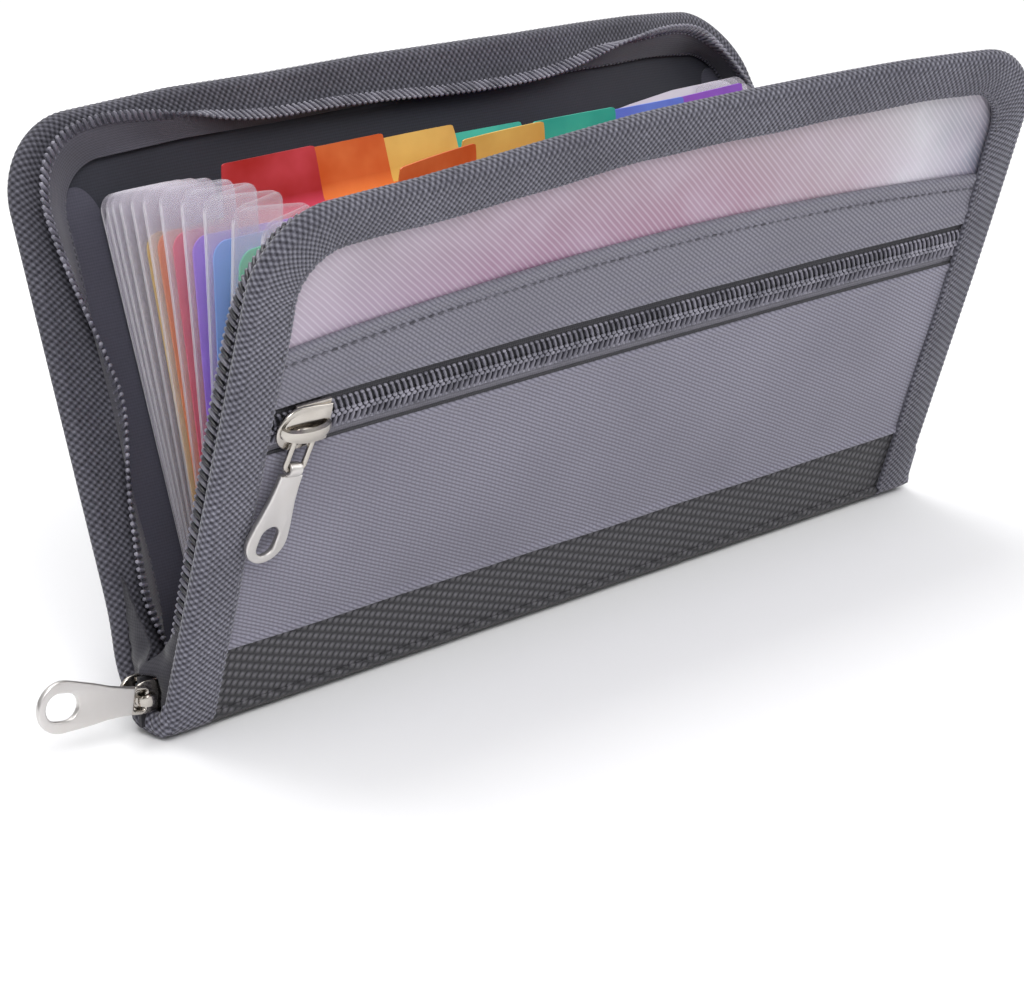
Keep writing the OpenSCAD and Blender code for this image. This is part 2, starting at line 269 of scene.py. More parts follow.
def dobby_mat(name, dark, mid, light, bump=0.7):
    """Dark fabric with diagonal rows of raised dots."""
    k = Nodes(name)
    u, v, uv = k.uv()
    a = math.radians(-21)
    w = k.math("ADD", k.math("MULTIPLY", u, -math.sin(a) / 1.75), k.math("MULTIPLY", v, math.cos(a) / 1.75))
    al = k.math("ADD", k.math("MULTIPLY", u, math.cos(a) / 1.55), k.math("MULTIPLY", v, math.sin(a) / 1.55))
    al = k.math("ADD", al, k.math("MULTIPLY", k.math("FLOOR", w), 0.5))
    f1 = k.math("ABSOLUTE", k.math("SINE", k.math("MULTIPLY", w, math.pi)))
    f2 = k.math("ABSOLUTE", k.math("SINE", k.math("MULTIPLY", al, math.pi)))
    edge = k.maprange(v, 3.2, 4.0, 0.0, 1.0)
    h = k.math("MULTIPLY", k.math("POWER", k.math("MULTIPLY", f1, f2), 1.2), edge)
    fine = k.noise(uv, 3.0, 3.0)
    tone = k.math("ADD", k.math("MULTIPLY", h, 0.75), k.math("MULTIPLY", fine, 0.3))
    col = k.ramp(tone, (0.1, dark), (0.45, mid), (0.95, light))
    # painted shade: the cloth is mixed up to 40% towards the dark tone going towards +x, darker at the right end
    col = k.mix(k.maprange(u, -60.0, 90.0, 0.0, 0.4), col, dark)
    nrm = k.bump(k.math("ADD", h, k.math("MULTIPLY", fine, 0.15)), bump, 0.0004)
    return k.set(Base_Color=col, Roughness=0.7, Normal=nrm, Sheen_Weight=0.15, Specular_IOR_Level=0.3)


def tape_mat(name, dark, light, bump=0.3):
    """Smooth woven tape with fine ribs along it."""
    k = Nodes(name)
    u, v, uv = k.uv()
    r = k.math("ABSOLUTE", k.math("SINE", k.math("MULTIPLY", v, math.pi / 0.55)))
    q = k.math("ABSOLUTE", k.math("SINE", k.math("MULTIPLY", u, math.pi / 0.5)))
    h = k.math("ADD", k.math("MULTIPLY", r, 0.6), k.math("MULTIPLY", q, 0.4))
    fine = k.noise(uv, 1.6, 4.0)
    big = k.noise(uv, 0.07, 3.0)
    tone = k.math("ADD", k.math("MULTIPLY", h, 0.4), k.math("ADD", k.math("MULTIPLY", fine, 0.35), k.math("MULTIPLY", big, 0.35)))
    col = k.ramp(tone, (0.2, dark), (0.85, light))
    return k.set(Base_Color=col, Roughness=0.75, Normal=k.bump(h, bump, 0.00015), Sheen_Weight=0.25, Specular_IOR_Level=0.25)


def thread_mat(name, dark, light, scale=700.0):
    k = Nodes(name)
    o = k.obj()
    f = k.noise(o, scale, 3.0)
    return k.set(Base_Color=k.mix(k.maprange(f, 0.3, 0.7), dark, light), Roughness=0.6, Normal=k.bump(f, 0.25, 0.0001),
                 Specular_IOR_Level=0.35)


def coil_mat(name, dark, light):
    k = Nodes(name)
    f = k.noise(k.obj(), 260.0, 2.0)
    return k.set(Base_Color=k.mix(k.maprange(f, 0.3, 0.7), dark, light), Roughness=0.32, Specular_IOR_Level=0.6,
                 Normal=k.bump(f, 0.08, 0.0001))


def metal_mat(name, tint=(0.60, 0.575, 0.545, 1), rough=0.13, satin=0.0):
    k = Nodes(name)
    o = k.obj()
    f = k.noise(o, 90.0, 4.0)
    g = k.noise(o, 900.0, 3.0)
    col = k.mix(k.maprange(f, 0.35, 0.7, 0.0, 0.4), tint, (tint[0] * 0.8, tint[1] * 0.77, tint[2] * 0.72, 1))
    r = k.math("ADD", k.maprange(f, 0.3, 0.75, rough, rough + 0.14), k.math("MULTIPLY", g, satin))
    return k.set(Base_Color=col, Metallic=1.0, Roughness=r, Normal=k.bump(g, 0.06 + satin, 0.00008))


def film_mat(name, col, col2, alpha, rough=0.3, v0=60.0, v1=90.0, a2=None, spec=0.5, sss=0.0):
    """Frosted film. Colour and haze go from the lower values at v0 to the upper ones at v1."""
    k = Nodes(name)
    u, v, uv = k.uv()
    f = k.maprange(v, v0, v1)
    cloud = k.noise(uv, 0.09, 3.0)
    base = k.mix(f, col, col2)
    base = k.mix(k.maprange(cloud, 0.3, 0.75, 0.0, 0.3), base, (min(col[0] * 1.25 + 0.05, 1), min(col[1] * 1.25 + 0.05, 1), min(col[2] * 1.25 + 0.05, 1), 1))
    fine = k.noise(uv, 6.0, 2.0)
    al = k.maprange(v, v0, v1, alpha, alpha if a2 is None else a2)
    al = k.math("ADD", al, k.maprange(cloud, 0.2, 0.8, -0.05, 0.05), clamp=True)
    m = k.set(Base_Color=base, Roughness=rough, Alpha=al, Specular_IOR_Level=spec, Normal=k.bump(fine, 0.06, 0.0001))
    return m


M = {}
# the front binding gets painted shade along its top run and right side
M["bind"] = pebble_mat("binding_tape", lin(44, 43, 50), lin(96, 95, 106), lin(154, 154, 166), far_painted_shade=0.2)
# painted shade: the rear binding is a darker copy of the same binding tape, for its side that faces in between the
# covers
M["bind_rear"] = pebble_mat("binding_tape_rear_shaded", lin(38, 37, 43), lin(79, 78, 87), lin(122, 121, 132))
M["twill"] = twill_mat("twill", lin(86, 84, 95), lin(117, 115, 128), lin(148, 146, 160), pitch=0.68, bump=0.32)
M["twill_band"] = twill_mat("twill_band", lin(78, 77, 86), lin(107, 106, 117), lin(138, 136, 148), angle=-36.0, pitch=0.68, bump=0.32)
M["dobby"] = dobby_mat("dark_dobby", lin(34, 33, 37), lin(54, 53, 58), lin(104, 102, 108))
M["tape"] = tape_mat("zip_tape", lin(50, 49, 56), lin(88, 86, 97))
# painted shade: a darker copy of the zip tape, for tape lying in shade: the front tape beside the binding, the gathered
# tape at the feet and the zip tails
M["tape_shaded"] = tape_mat("zip_tape_dark", lin(32, 31, 36), lin(62, 61, 68))
# painted shadow: near-black tape, used for the shadow line above the pocket chain and along the lower panel's top edge
M["cord"] = tape_mat("zip_cord_painted_shadow", lin(22, 21, 26), lin(44, 43, 50))
M["tape_pocket"] = tape_mat("zip_tape_pocket", lin(74, 73, 81), lin(122, 120, 130))
M["lining"] = tape_mat("lining_cloth", lin(30, 30, 37), lin(45, 46, 56), bump=0.08)
M["lining2"] = tape_mat("pocket_cloth", lin(55, 54, 64), lin(74, 73, 86), bump=0.08)
M["thread"] = thread_mat("thread_grey", lin(56, 55, 62), lin(104, 103, 113))
M["thread_dark"] = thread_mat("thread_dark", lin(22, 22, 26), lin(60, 60, 66))
# painted highlight: the lighter coil copy goes on the heads and roots; painted shade: the near-black coil copy goes on
# every other front tooth, for the dark gaps between the teeth
M["coil"] = coil_mat("coil_dark", lin(56, 55, 62), lin(104, 102, 112))
M["coil_painted_highlight"] = coil_mat("coil_painted_highlight", lin(98, 97, 108), lin(142, 140, 152))
M["coil_mid"] = coil_mat("coil_mid", lin(76, 75, 85), lin(122, 120, 132))
M["coil_painted_shade"] = coil_mat("coil_painted_shade", lin(30, 30, 34), lin(58, 57, 64))
M["nickel"] = metal_mat("nickel_bright", tint=(0.52, 0.49, 0.455, 1))
M["nickel_tab"] = metal_mat("nickel_tab", tint=(0.67, 0.65, 0.64, 1), rough=0.27, satin=0.12)
M["board"] = tape_mat("stiffener_board", lin(34, 34, 38), lin(52, 52, 58), bump=0.05)


# ---------------------------------------------------------------- mesh helpers
def mesh(name, V, quads=None, tris=None, mat=None, uv=None, smooth=True, sharp=None, caps=(), recalc=True, mats=None, midx=None):
    V = np.asarray(V, float).reshape(-1, 3)
    faces = []
    loops, starts = [], []
    pos = 0
    for F in (quads, tris):
        if F is None or len(F) == 0:
            continue
        F = np.asarray(F, np.int32)
        loops.append(F.ravel())
        starts.append(pos + np.arange(len(F), dtype=np.int32) * F.shape[1])
        pos += F.size
    for cap in caps:
        loops.append(np.asarray(cap, np.int32))
        starts.append(np.array([pos], np.int32))
        pos += len(cap)
    loops = np.concatenate(loops)
    starts = np.concatenate(starts)
    me = bpy.data.meshes.new(name)
    me.vertices.add(len(V))
    me.vertices.foreach_set("co", (V * MM).astype(np.float32).ravel())
    me.loops.add(len(loops))
    me.loops.foreach_set("vertex_index", loops)
    me.polygons.add(len(starts))
    me.polygons.foreach_set("loop_start", starts)
    me.update(calc_edges=True)
    if uv is not None:
        layer = me.uv_layers.new(name="MM")
        layer.data.foreach_set("uv", np.asarray(uv, np.float32).reshape(-1, 2)[loops].ravel())
    me.validate(verbose=False)
    if recalc:
        bm = bmesh.new()
        bm.from_mesh(me)
        bmesh.ops.recalc_face_normals(bm, faces=bm.faces)
        bm.to_mesh(me)
        bm.free()
    me.polygons.foreach_set("use_smooth", np.full(len(me.polygons), smooth))
    if sharp is not None:
        me.set_sharp_from_angle(angle=math.radians(sharp))
    ob = bpy.data.objects.new(name, me)
    bpy.context.scene.collection.objects.link(ob)
    for m in (mats or [mat]):
        me.materials.append(m)
    if midx is not None:
        me.polygons.foreach_set("material_index", np.asarray(midx, np.int32))
    me.update()
    return ob


def slab(name, A, B, uv, mat, mask=None, smooth=True, sharp=35):
    """Closed thin solid between the point grids A and B (n, m, 3). mask says which cells are there."""
    n, m = A.shape[:2]
    if mask is None:
        mask = np.ones((n - 1, m - 1), bool)
    idx = np.arange(n * m).reshape(n, m)
    q = np.stack([idx[:-1, :-1], idx[1:, :-1], idx[1:, 1:], idx[:-1, 1:]], -1)
    top = q[mask]
    N = n * m
    bot = top[:, ::-1] + N
    P = np.zeros((n + 1, m + 1), bool)
    P[1:-1, 1:-1] = mask
    rims = []
    # sides: neighbour in i-1, i+1, j-1, j+1
    for di, dj, a, b in ((-1, 0, 3, 0), (1, 0, 1, 2), (0, -1, 0, 1), (0, 1, 2, 3)):
        nb = P[1 + di:n + di, 1 + dj:m + dj]
        e = mask & ~nb
        r = q[e]
        if len(r):
            rims.append(np.stack([r[:, a], r[:, a] + N, r[:, b] + N, r[:, b]], -1))
    Q = np.concatenate([top, bot] + rims)
    V = np.concatenate([A.reshape(-1, 3), B.reshape(-1, 3)])
    U = np.concatenate([uv.reshape(-1, 2)] * 2)
    used, inv = np.unique(Q, return_inverse=True)
    return mesh(name, V[used], quads=inv.reshape(Q.shape), uv=U[used], mat=mat, smooth=smooth, sharp=sharp)


def ball(nu=8, nv=6, pw=1.0):
    """Unit ball as vertices, quads and triangles; pw under 1 makes it boxier."""
    V = [(0, 0, -1)]
    for j in range(1, nv):
        t = -math.pi / 2 + math.pi * j / nv
        for i in range(nu):
            a = 2 * math.pi * i / nu
            V.append((math.cos(t) * math.cos(a), math.cos(t) * math.sin(a), math.sin(t)))
    V.append((0, 0, 1))
    V = np.array(V)
    V = np.sign(V) * np.abs(V) ** pw
    Q, T = [], []
    for i in range(nu):
        k = (i + 1) % nu
        T.append((0, 1 + k, 1 + i))
        for j in range(nv - 2):
            a = 1 + j * nu
            Q.append((a + i, a + k, a + nu + k, a + nu + i))
        a = 1 + (nv - 2) * nu
        T.append((a + i, a + k, len(V) - 1))
    return V, np.array(Q), np.array(T)


def grains(name, P, T, N, L, W, Hh, mat, pw=0.8, nu=8, nv=6, mats=None, pick=None):
    """Many small rounded bars: centres P, directions T, normals N; half sizes L, W, Hh."""
    P, T, N = (np.asarray(q, float).reshape(-1, 3) for q in (P, T, N))
    T = T / np.linalg.norm(T, axis=1, keepdims=True)
    N = N - (N * T).sum(1, keepdims=True) * T
    N = N / np.linalg.norm(N, axis=1, keepdims=True)
    B = np.cross(N, T)
    b, q, t = ball(nu, nv, pw)
    n = len(P)
    L, W, Hh = (np.broadcast_to(np.asarray(v, float), (n,)) for v in (L, W, Hh))
    # the ball's poles lie along T
    V = (P[:, None] + T[:, None] * (b[None, :, 2:3] * L[:, None, None]) + B[:, None] * (b[None, :, 0:1] * W[:, None, None])
         + N[:, None] * (b[None, :, 1:2] * Hh[:, None, None]))
    off = (np.arange(n) * len(b))[:, None, None]
    Q = (q[None] + off).reshape(-1, 4)
    Tr = (t[None] + off).reshape(-1, 3)
    midx = None
    if pick is not None:
        midx = np.concatenate([np.repeat(pick, len(q)), np.repeat(pick, len(t))])
    return mesh(name, V.reshape(-1, 3), quads=Q, tris=Tr, mat=mat, recalc=True, mats=mats, midx=midx)


def ring_sweep(name, V, mat, uv, closed_profile=True, smooth=True, sharp=50):
    """V (nu, np, 3): closed profile rings swept along u, with flat caps."""
    n, m = V.shape[:2]
    idx = np.arange(n * m).reshape(n, m)
    nx = np.roll(idx, -1, 1)
    Q = np.stack([idx[:-1], idx[1:], nx[1:], nx[:-1]], -1).reshape(-1, 4)
    return mesh(name, V.reshape(-1, 3), quads=Q, uv=uv.reshape(-1, 2), mat=mat, smooth=smooth, sharp=sharp,
                caps=[idx[0][::-1], idx[-1]])


# Outline of a cover: u from 0 to 5 goes up the left side, round the corner, along the top and down the right side.
def outline(u, d, lo=0.0, r=15.0, kr=0.6):
    u, d = arr(u, d)
    xs, top = HX - d, H - d
    rr = np.maximum(r - kr * d, 1.0)
    q = np.pi / 2
    f = u - np.floor(np.minimum(u, 4.999999))
    g = np.floor(np.minimum(u, 4.999999))
    sx = np.where(g < 2, -1, 1)
    ang = np.where(g == 1, np.pi - f * q, q - f * q)
    x = np.select([g == 0, g == 1, g == 2, g == 3, g == 4],
                  [-xs, -(xs - rr) + rr * np.cos(ang), -(xs - rr) + 2 * (xs - rr) * f, (xs - rr) + rr * np.cos(ang), xs])
    s = np.select([g == 0, g == 1, g == 2, g == 3, g == 4],
                  [lo + (top - rr - lo) * f, (top - rr) + rr * np.sin(ang), top, (top - rr) + rr * np.sin(ang), (top - rr) - (top - rr - lo) * f])
    return x, s


def u_steps(step, lo=0.0, d=4.0):
    """u values spaced about evenly by step along the outline, and their lengths."""
    seg = [H - 15 - lo, 15 * math.pi / 2, 2 * (HX - 15), 15 * math.pi / 2, H - 15 - lo]
    us, ls, tot = [], [], 0.0
    for g, L in enumerate(seg):
        n = max(2, int(round(L / step)))
        f = np.arange(n) / n
        us.append(g + f)
        ls.append(tot + f * L)
        tot += L
    us.append([4.9999999])
    ls.append([tot])
    return np.concatenate(us), np.concatenate(ls)


def pebble_height(u, v, pu=1.28, pv=0.74):
    """Staggered dots, 0 to 1."""
    return 0.5 + 0.5 * np.cos(u * 2 * np.pi / pu) * np.cos(v * np.pi / pv)


def ride(ob, body, slot, *nodes):
    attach(ob, body)
    if nodes:
        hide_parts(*nodes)
    return ob


def tangents(P):
    return np.gradient(P, axis=0)


# ---------------------------------------------------------------- bindings
def binding_profile():
    """(d, y) round the folded tape, and the length along it."""
    d_out = np.concatenate([[9.35, 9.5], np.arange(9.3, 1.8, -0.37)])
    y_out = np.concatenate([[-5.2, -5.55], np.full(len(d_out) - 2, -5.85)])
    y_out[2:] -= 0.22 * np.sin(np.clip((9.5 - d_out[2:]) / 7.7, 0, 1) * np.pi)
    a = np.linspace(0, np.pi, 11)
    d_n = 1.75 - 1.75 * np.sin(a)
    y_n = -4.2 - 1.68 * np.cos(a)
    d_in = np.concatenate([np.arange(1.9, 9.35, 0.37), [9.5, 9.35]])
    y_in = np.full(len(d_in), -2.52)
    y_in[-2:] = [-2.8, -3.15]
    d_b = [8.4, 5.0, 2.6, 1.6, 2.6, 5.0, 8.4]
    y_b = [-3.2, -3.2, -3.2, -4.2, -5.12, -5.12, -5.12]
    d = np.concatenate([d_out, d_n, d_in, d_b])
    y = np.concatenate([y_out, y_n, y_in, y_b])
    v = np.concatenate([[0], np.cumsum(np.hypot(np.diff(d), np.diff(y)))])
    vis = np.zeros(len(d), bool)
    vis[2:len(d_out) + 11 + len(d_in) - 2] = True
    return d, y, v, vis, len(d_out)


def narrow(u, d, k):
    """The tape shows a little narrower along the top than up the sides."""
    top = ss(np.clip(u - 1, 0, 1)) * ss(np.clip(4 - u, 0, 1))
    return np.where(d > 2, 2 + (d - 2) * (1 - k * top), d)


def make_binding(name, place, side, mat, lo=1.3, nar=0.0, inner=False):
    d, y, v, vis, n_out = binding_profile()
    us, ls = u_steps(0.284, lo)
    U, D = np.meshgrid(us, d, indexing="ij")
    Lg, Y = np.meshgrid(ls, y, indexing="ij")
    Vg = np.broadcast_to(v, U.shape)
    # slow changes of the tape's width and lie
    wob = 0.18 * np.sin(Lg * 0.09 + 0.7) + 0.12 * np.sin(Lg * 0.23 + 2.0)
    D = D + wob * np.clip((D - 5) / 4.5, 0, 1)
    D = narrow(U, D, nar)
    if inner:
        k_in = np.interp(U, [0, 1.3, 1.9, 2.2, 2.5, 5], [1.0, 1.0, 0.84, 0.86, 1.0, 1.0])
        D = np.where(np.arange(len(d))[None, :] >= n_out + 8, D * k_in, D)
    x, s = outline(U, D, lo)
    # profile normals in (d, y)
    td, ty = np.gradient(d), np.gradient(y)
    ln = np.hypot(td, ty) + 1e-9
    nd, ny = ty / ln, -td / ln
    hgt = pebble_height(Lg, Vg) * 0.26
    nose = np.exp(-((D - 0.0) / 2.6) ** 2)
    hgt = hgt * (1 - 0.3 * nose) + 0.06 * nose * np.abs(np.sin(Lg * np.pi / 1.28))
    gather = np.where((U > 1) & (U < 2) | (U > 3) & (U < 4), 1.0, 0.0) * np.clip((D - 4) / 5, 0, 1)
    hgt = hgt + gather * 0.12 * np.sin(Lg * 1.9)
    hgt = hgt * vis[None, :]
    sign = np.sign((D * 0 + ny) * (Y + 4.2) + nd * (D - 4.5) + 1e-9)
    xo, so = outline(U, D + hgt * nd * 1.0 * np.where(nd * (1.0) > 0, 1, 1) * 0, lo)
    outw = np.where(np.arange(len(d)) < n_out + 5, -1.0, 1.0)
    Yd = Y + hgt * outw[None, :] * np.clip(np.abs(ny)[None, :], 0, 1)
    xd, sd = outline(U, D - hgt * np.clip(np.abs(nd)[None, :], 0, 1) * (D < 1.9), lo)
    P = place(xd, Yd, sd)
    uv = np.stack([Lg, Vg], -1)
    return ring_sweep(name, P, mat, uv, sharp=60)


def stitch_row(name, place, d, y, body, mat, lo=2.0, pitch=2.7, half=0.95, u0=0.0, u1=5.0, out=-1.0, slot="binding", nar=0.0):
    us, ls = u_steps(pitch, lo)
    keep = (us >= u0) & (us <= u1)
    us = us[keep]
    x, s = outline(us, narrow(us, d + 0 * us, nar), lo)
    e = 1e-3
    x2, s2 = outline(np.minimum(us + e, 4.9999), narrow(us, d + 0 * us, nar), lo)
    P, P2 = place(x, y, s), place(x2, y, s2)
    T = P2 - P
    T[-1] = T[-2]
    N = place(x, y + out, s) - P
    ob = grains(name, P, T, N, half, 0.26, 0.2, mat, pw=0.8)
    return ride(ob, body, slot)


fb = ride(make_binding("front_edge_binding", FP, -1, M["bind"], nar=0.15), "front_cover", "binding", "front_binding")
rb = ride(make_binding("rear_edge_binding", RP, 1, M["bind_rear"], inner=True), "rear_cover", "binding", "rear_binding")
stitch_row("front_binding_stitches", FP, 8.5, -5.98, "front_cover", M["thread"], nar=0.15)
stitch_row("rear_binding_stitches", RP, 8.5, -5.98, "rear_cover", M["thread"])


# ---------------------------------------------------------------- cover panels
def panel(name, place, x0, x1, lo, hi, y_out, y_in, mat, nx, ns, hem_lo=0.0, hem_hi=0.0, wav=0.12, mask=None, ph=0.0, voff=0.0, roll=0.0):
    """Flat cloth panel between the curves lo(x) and hi(x). A turned hem of the given height runs along an edge."""
    xg = np.linspace(x0, x1, nx)
    t = np.linspace(0, 1, ns)
    # denser rows near both edges
    t = 0.5 - 0.5 * np.cos(t * np.pi) if (hem_lo or hem_hi) else t
    X, T = np.meshgrid(xg, t, indexing="ij")
    LO, HI = lo(X), hi(X)
    Sg = LO + (HI - LO) * T
    dl, dh = Sg - LO, HI - Sg
    bump = wav * wave(X, Sg, 1.0, ph)
    if hem_lo:
        bump = bump + hem_lo * (1 - ss((dl - 1.0) / 0.9)) * ss(dl / 0.35)
    if hem_hi:
        bump = bump + hem_hi * (1 - ss((dh - 1.0) / 0.9)) * ss(dh / 0.35)
    if roll:
        # the band's lower hem rolls over the zip, unevenly along its length
        bump = bump + roll * np.exp(-((dl - 3.4 - 0.5 * np.sin(X / 17)) / 1.0) ** 2) * (0.65 + 0.35 * np.sin(X / 11 + 1)) \
            - 0.25 * roll * np.exp(-((dl - 5.6) / 0.9) ** 2)
    A = place(X, y_out - bump, Sg)
    B = place(X, np.minimum(y_in + 0 * X, y_in), Sg)
    uv = np.stack([X, Sg + voff], -1)
    return slab(name, A, B, uv, mat, mask)


def cst(v):
    return lambda x: v + 0 * x


def mid(x):
    return np.clip(1 - (x / 88) ** 2, 0, 1)


slot_lo = lambda x: 55.2 + 0.0 * x
slot_hi = lambda x: 64.4 + 0.15 * mid(x)
win_lo = lambda x: 75.2 + 3.5 * mid(x)

W = 93.4
o = panel("front_lower_cloth", FP, -W, W, cst(14.9), slot_lo, -5.25, -4.6, M["twill"], 240, 60, hem_lo=0.42, hem_hi=0.25, wav=0.16)
ride(o, "front_cover", "twill", "front_lower_panel")
o = panel("front_band_cloth", FP, -W, W, slot_hi, win_lo, -5.3, -4.6, M["twill_band"], 240, 30, hem_lo=0.3, hem_hi=0.3, wav=0.14, ph=1.7, roll=0.4)
ride(o, "front_cover", "twill", "front_upper_band")
o = panel("front_strip_cloth", FP, -W, W, cst(0.9), cst(15.3), -5.0, -4.5, M["dobby"], 200, 24, wav=0.1, voff=3.2)
ride(o, "front_cover", "base_fabric", "front_base_strip")
o = panel("rear_outer_cloth", RP, -W, W, cst(14.9), cst(102.0), -5.2, -4.6, M["twill"], 160, 80, hem_lo=0.4, wav=0.2,
          mask=None)
ride(o, "rear_cover", "twill", "rear_outer_panel")


def corner_cut(ob, place_r=13.0):
    return ob


o2 = panel("rear_strip_cloth", RP, -W, W, cst(0.9), cst(15.3), -5.0, -4.5, M["dobby"], 200, 24, wav=0.1, voff=3.2)
ride(o2, "rear_cover", "base_fabric", "rear_base_strip")


def top_of(d, r):
    """Upper edge of a sheet inset by d with corner radius r."""
    def f(x):
        xs, top = HX - d, H - d
        q = np.clip(np.abs(x) - (xs - r), 0, r)
        return top - r + np.sqrt(np.maximum(r * r - q * q, 0.0))
    return f


def xcols(w, r, n_mid, n_c):
    a = np.linspace(0, np.pi / 2, n_c)
    c = (w - r) + r * np.sin(a)
    m = np.linspace(-(w - r), w - r, n_mid)[1:-1]
    return np.concatenate([-c[::-1], m, c])


def sheet_cols(name, place, xs, lo, hi, n, y0, y1, mat, wav=0.0, ph=0.0, uvoff=0.0):
    X, T = np.meshgrid(xs, np.linspace(0, 1, n), indexing="ij")
    LO, HI = lo(X), hi(X)
    Sg = LO + (HI - LO) * T
    b = wav * wave(X, Sg, 1.0, ph)
    return slab(name, place(X, y0 + b, Sg), place(X, y1 + b, Sg), np.stack([X, Sg + uvoff], -1), mat)


# ---------------------------------------------------------------- inside of the covers
def remake_rear_outer():
    bpy.data.objects.remove(o, do_unlink=True)


remake_rear_outer()
xs_full = xcols(HX - 1.7, 13.0, 150, 14)
o = sheet_cols("rear_outer_cloth", RP, xs_full, cst(15.0), top_of(1.7, 13.0), 70, -5.2, -4.6, M["twill"], wav=0.2)
ride(o, "rear_cover", "twill", "rear_outer_panel")
o = sheet_cols("rear_stiffener", RP, xcols(HX - 1.9, 12.5, 60, 10), cst(1.2), top_of(1.9, 12.5), 40, -4.58, -4.05, M["board"])
ride(o, "rear_cover", "stiffener", "rear_board")
o = sheet_cols("rear_lining_cloth", RP, xcols(HX - 2.0, 12.5, 120, 10), cst(1.2), top_of(2.0, 12.5), 60, -4.0, -3.66, M["lining"], wav=0.04)
ride(o, "rear_cover", "lining", "rear_lining")


def scoop(x):
    a = np.abs(x)
    ears = 91.0 - 3.0 * ss((a - 86) / 6)
    rr = 5.5
    k = np.clip((a - 77.0) / rr, 0, 1)
    return np.where(a > 77.0, 79.0 + (ears - 79.0) * np.sqrt(np.clip(1 - (1 - k) ** 2, 0, 1)), 79.0 - 1.0 * (1 - (x / 77.0) ** 2))


xs_s = np.concatenate([np.linspace(-93, -84, 12), np.linspace(-83.5, -76.8, 24), np.linspace(-76, 76, 90), np.linspace(76.8, 83.5, 24), np.linspace(84, 93, 12)])
o = sheet_cols("rear_slip_cloth", RP, xs_s, cst(1.2), scoop, 60, -3.6, -3.25, M["lining2"], wav=0.06, ph=0.9)
ride(o, "rear_cover", "lining", "rear_slip_pocket")

# the front cover's film: one sheet behind everything, and the frosted window in front of it
win = Nodes("window_film")
u, v, uv = win.uv()
ln = win.math("ADD", win.math("MULTIPLY", u, 0.7071 / 0.98), win.math("MULTIPLY", v, 0.7071 / 0.98))
ln = win.math("ADD", ln, win.math("MULTIPLY", win.noise(uv, 0.05), 0.8))
line = win.math("POWER", win.math("ABSOLUTE", win.math("SINE", win.math("MULTIPLY", ln, math.pi))), 7.0)
xg = win.math("ADD", u, win.math("MULTIPLY", win.math("SUBTRACT", win.noise(uv, 0.045, 2.0), 0.5), 30.0))
grad = win.ramp(win.maprange(xg, -88.0, 90.0), (0.0, lin(178, 166, 182)), (0.1, lin(160, 142, 162)), (0.3, lin(150, 114, 141)), (0.55, lin(154, 114, 138)),
                (0.72, lin(164, 140, 154)), (0.86, lin(202, 201, 210)), (0.95, lin(150, 151, 166)), (1.0, lin(104, 106, 126)))
up = win.maprange(v, 79.0, 95.0)
grad = win.mix(win.math("MULTIPLY", up, 0.5), grad, lin(150, 145, 147))
cl = win.noise(uv, 0.07, 3.0)
grad = win.mix(win.maprange(cl, 0.45, 0.72, 0.0, 0.4), grad, lin(180, 164, 182))
colw = win.mix(win.math("MULTIPLY", line, 0.32), grad, lin(222, 212, 226))
win.set(Base_Color=colw, Roughness=0.38, Alpha=0.9, Specular_IOR_Level=0.5, Coat_Weight=0.25, Coat_Roughness=0.2,
        Normal=win.bump(line, 0.35, 0.0002), Sheen_Weight=0.0)
M["window"] = win.m
M["clear"] = film_mat("clear_film", lin(178, 176, 188), lin(196, 193, 204), 0.42, 0.35)
o = sheet_cols("front_window", FP, xcols(HX - 3.0, 11.0, 120, 12), lambda x: win_lo(x) - 3.0, top_of(3.0, 11.0), 30, -4.5, -4.2, M["window"], wav=0.1)
ride(o, "front_cover", "window_film")
o = sheet_cols("front_backing_film", FP, xcols(HX - 1.9, 12.5, 100, 12), cst(1.2), top_of(1.9, 12.5), 50, -3.7, -3.25, M["clear"], wav=0.05)
ride(o, "front_cover", "window_film", "front_board")


# ---------------------------------------------------------------- stitches on the front panels
def line_stitches(name, place, xs, sfun, y, body, mat, half=0.75, h=0.2, w=0.26, slot="twill"):
    s = sfun(xs)
    P = place(xs, y, s)
    T = place(xs + 0.1, y, sfun(xs + 0.1)) - P
    N = place(xs, y - 1, s) - P
    return ride(grains(name, P, T, N, half, w, h, mat), body, slot)


xs = np.arange(-85.0, 86.0, 2.1)
line_stitches("band_stitches_top", FP, xs, lambda x: win_lo(x) - 2.9, -5.42, "front_cover", M["thread"], half=0.7, h=0.14)



# ---------------------------------------------------------------- pocket zip
o = panel("pocket_zip_tape", FP, -W, W, cst(53.6), cst(67.4), -4.72, -4.55, M["tape_pocket"], 160, 16, wav=0.05)
ride(o, "front_cover", "zip_tape", "pocket_zip_tapes")
# the coil's dark cord, widened up under the band's hem so that its upper part stands for the shadow there as painted
# shadow
o = panel("pocket_zip_cord_and_shadow", FP, -W, W, cst(57.8), cst(65.6), -4.9, -4.76, M["cord"], 160, 6, wav=0.0)
ride(o, "front_cover", "zip_tape")
# painted shadow: a thin dark strip along the lower panel's top edge stands for the shadow of the gap there
o = panel("pocket_edge_painted_shadow", FP, -W, W, cst(54.9), cst(55.75), -5.02, -4.9, M["cord"], 160, 3, wav=0.0)
ride(o, "front_cover", "zip_tape")


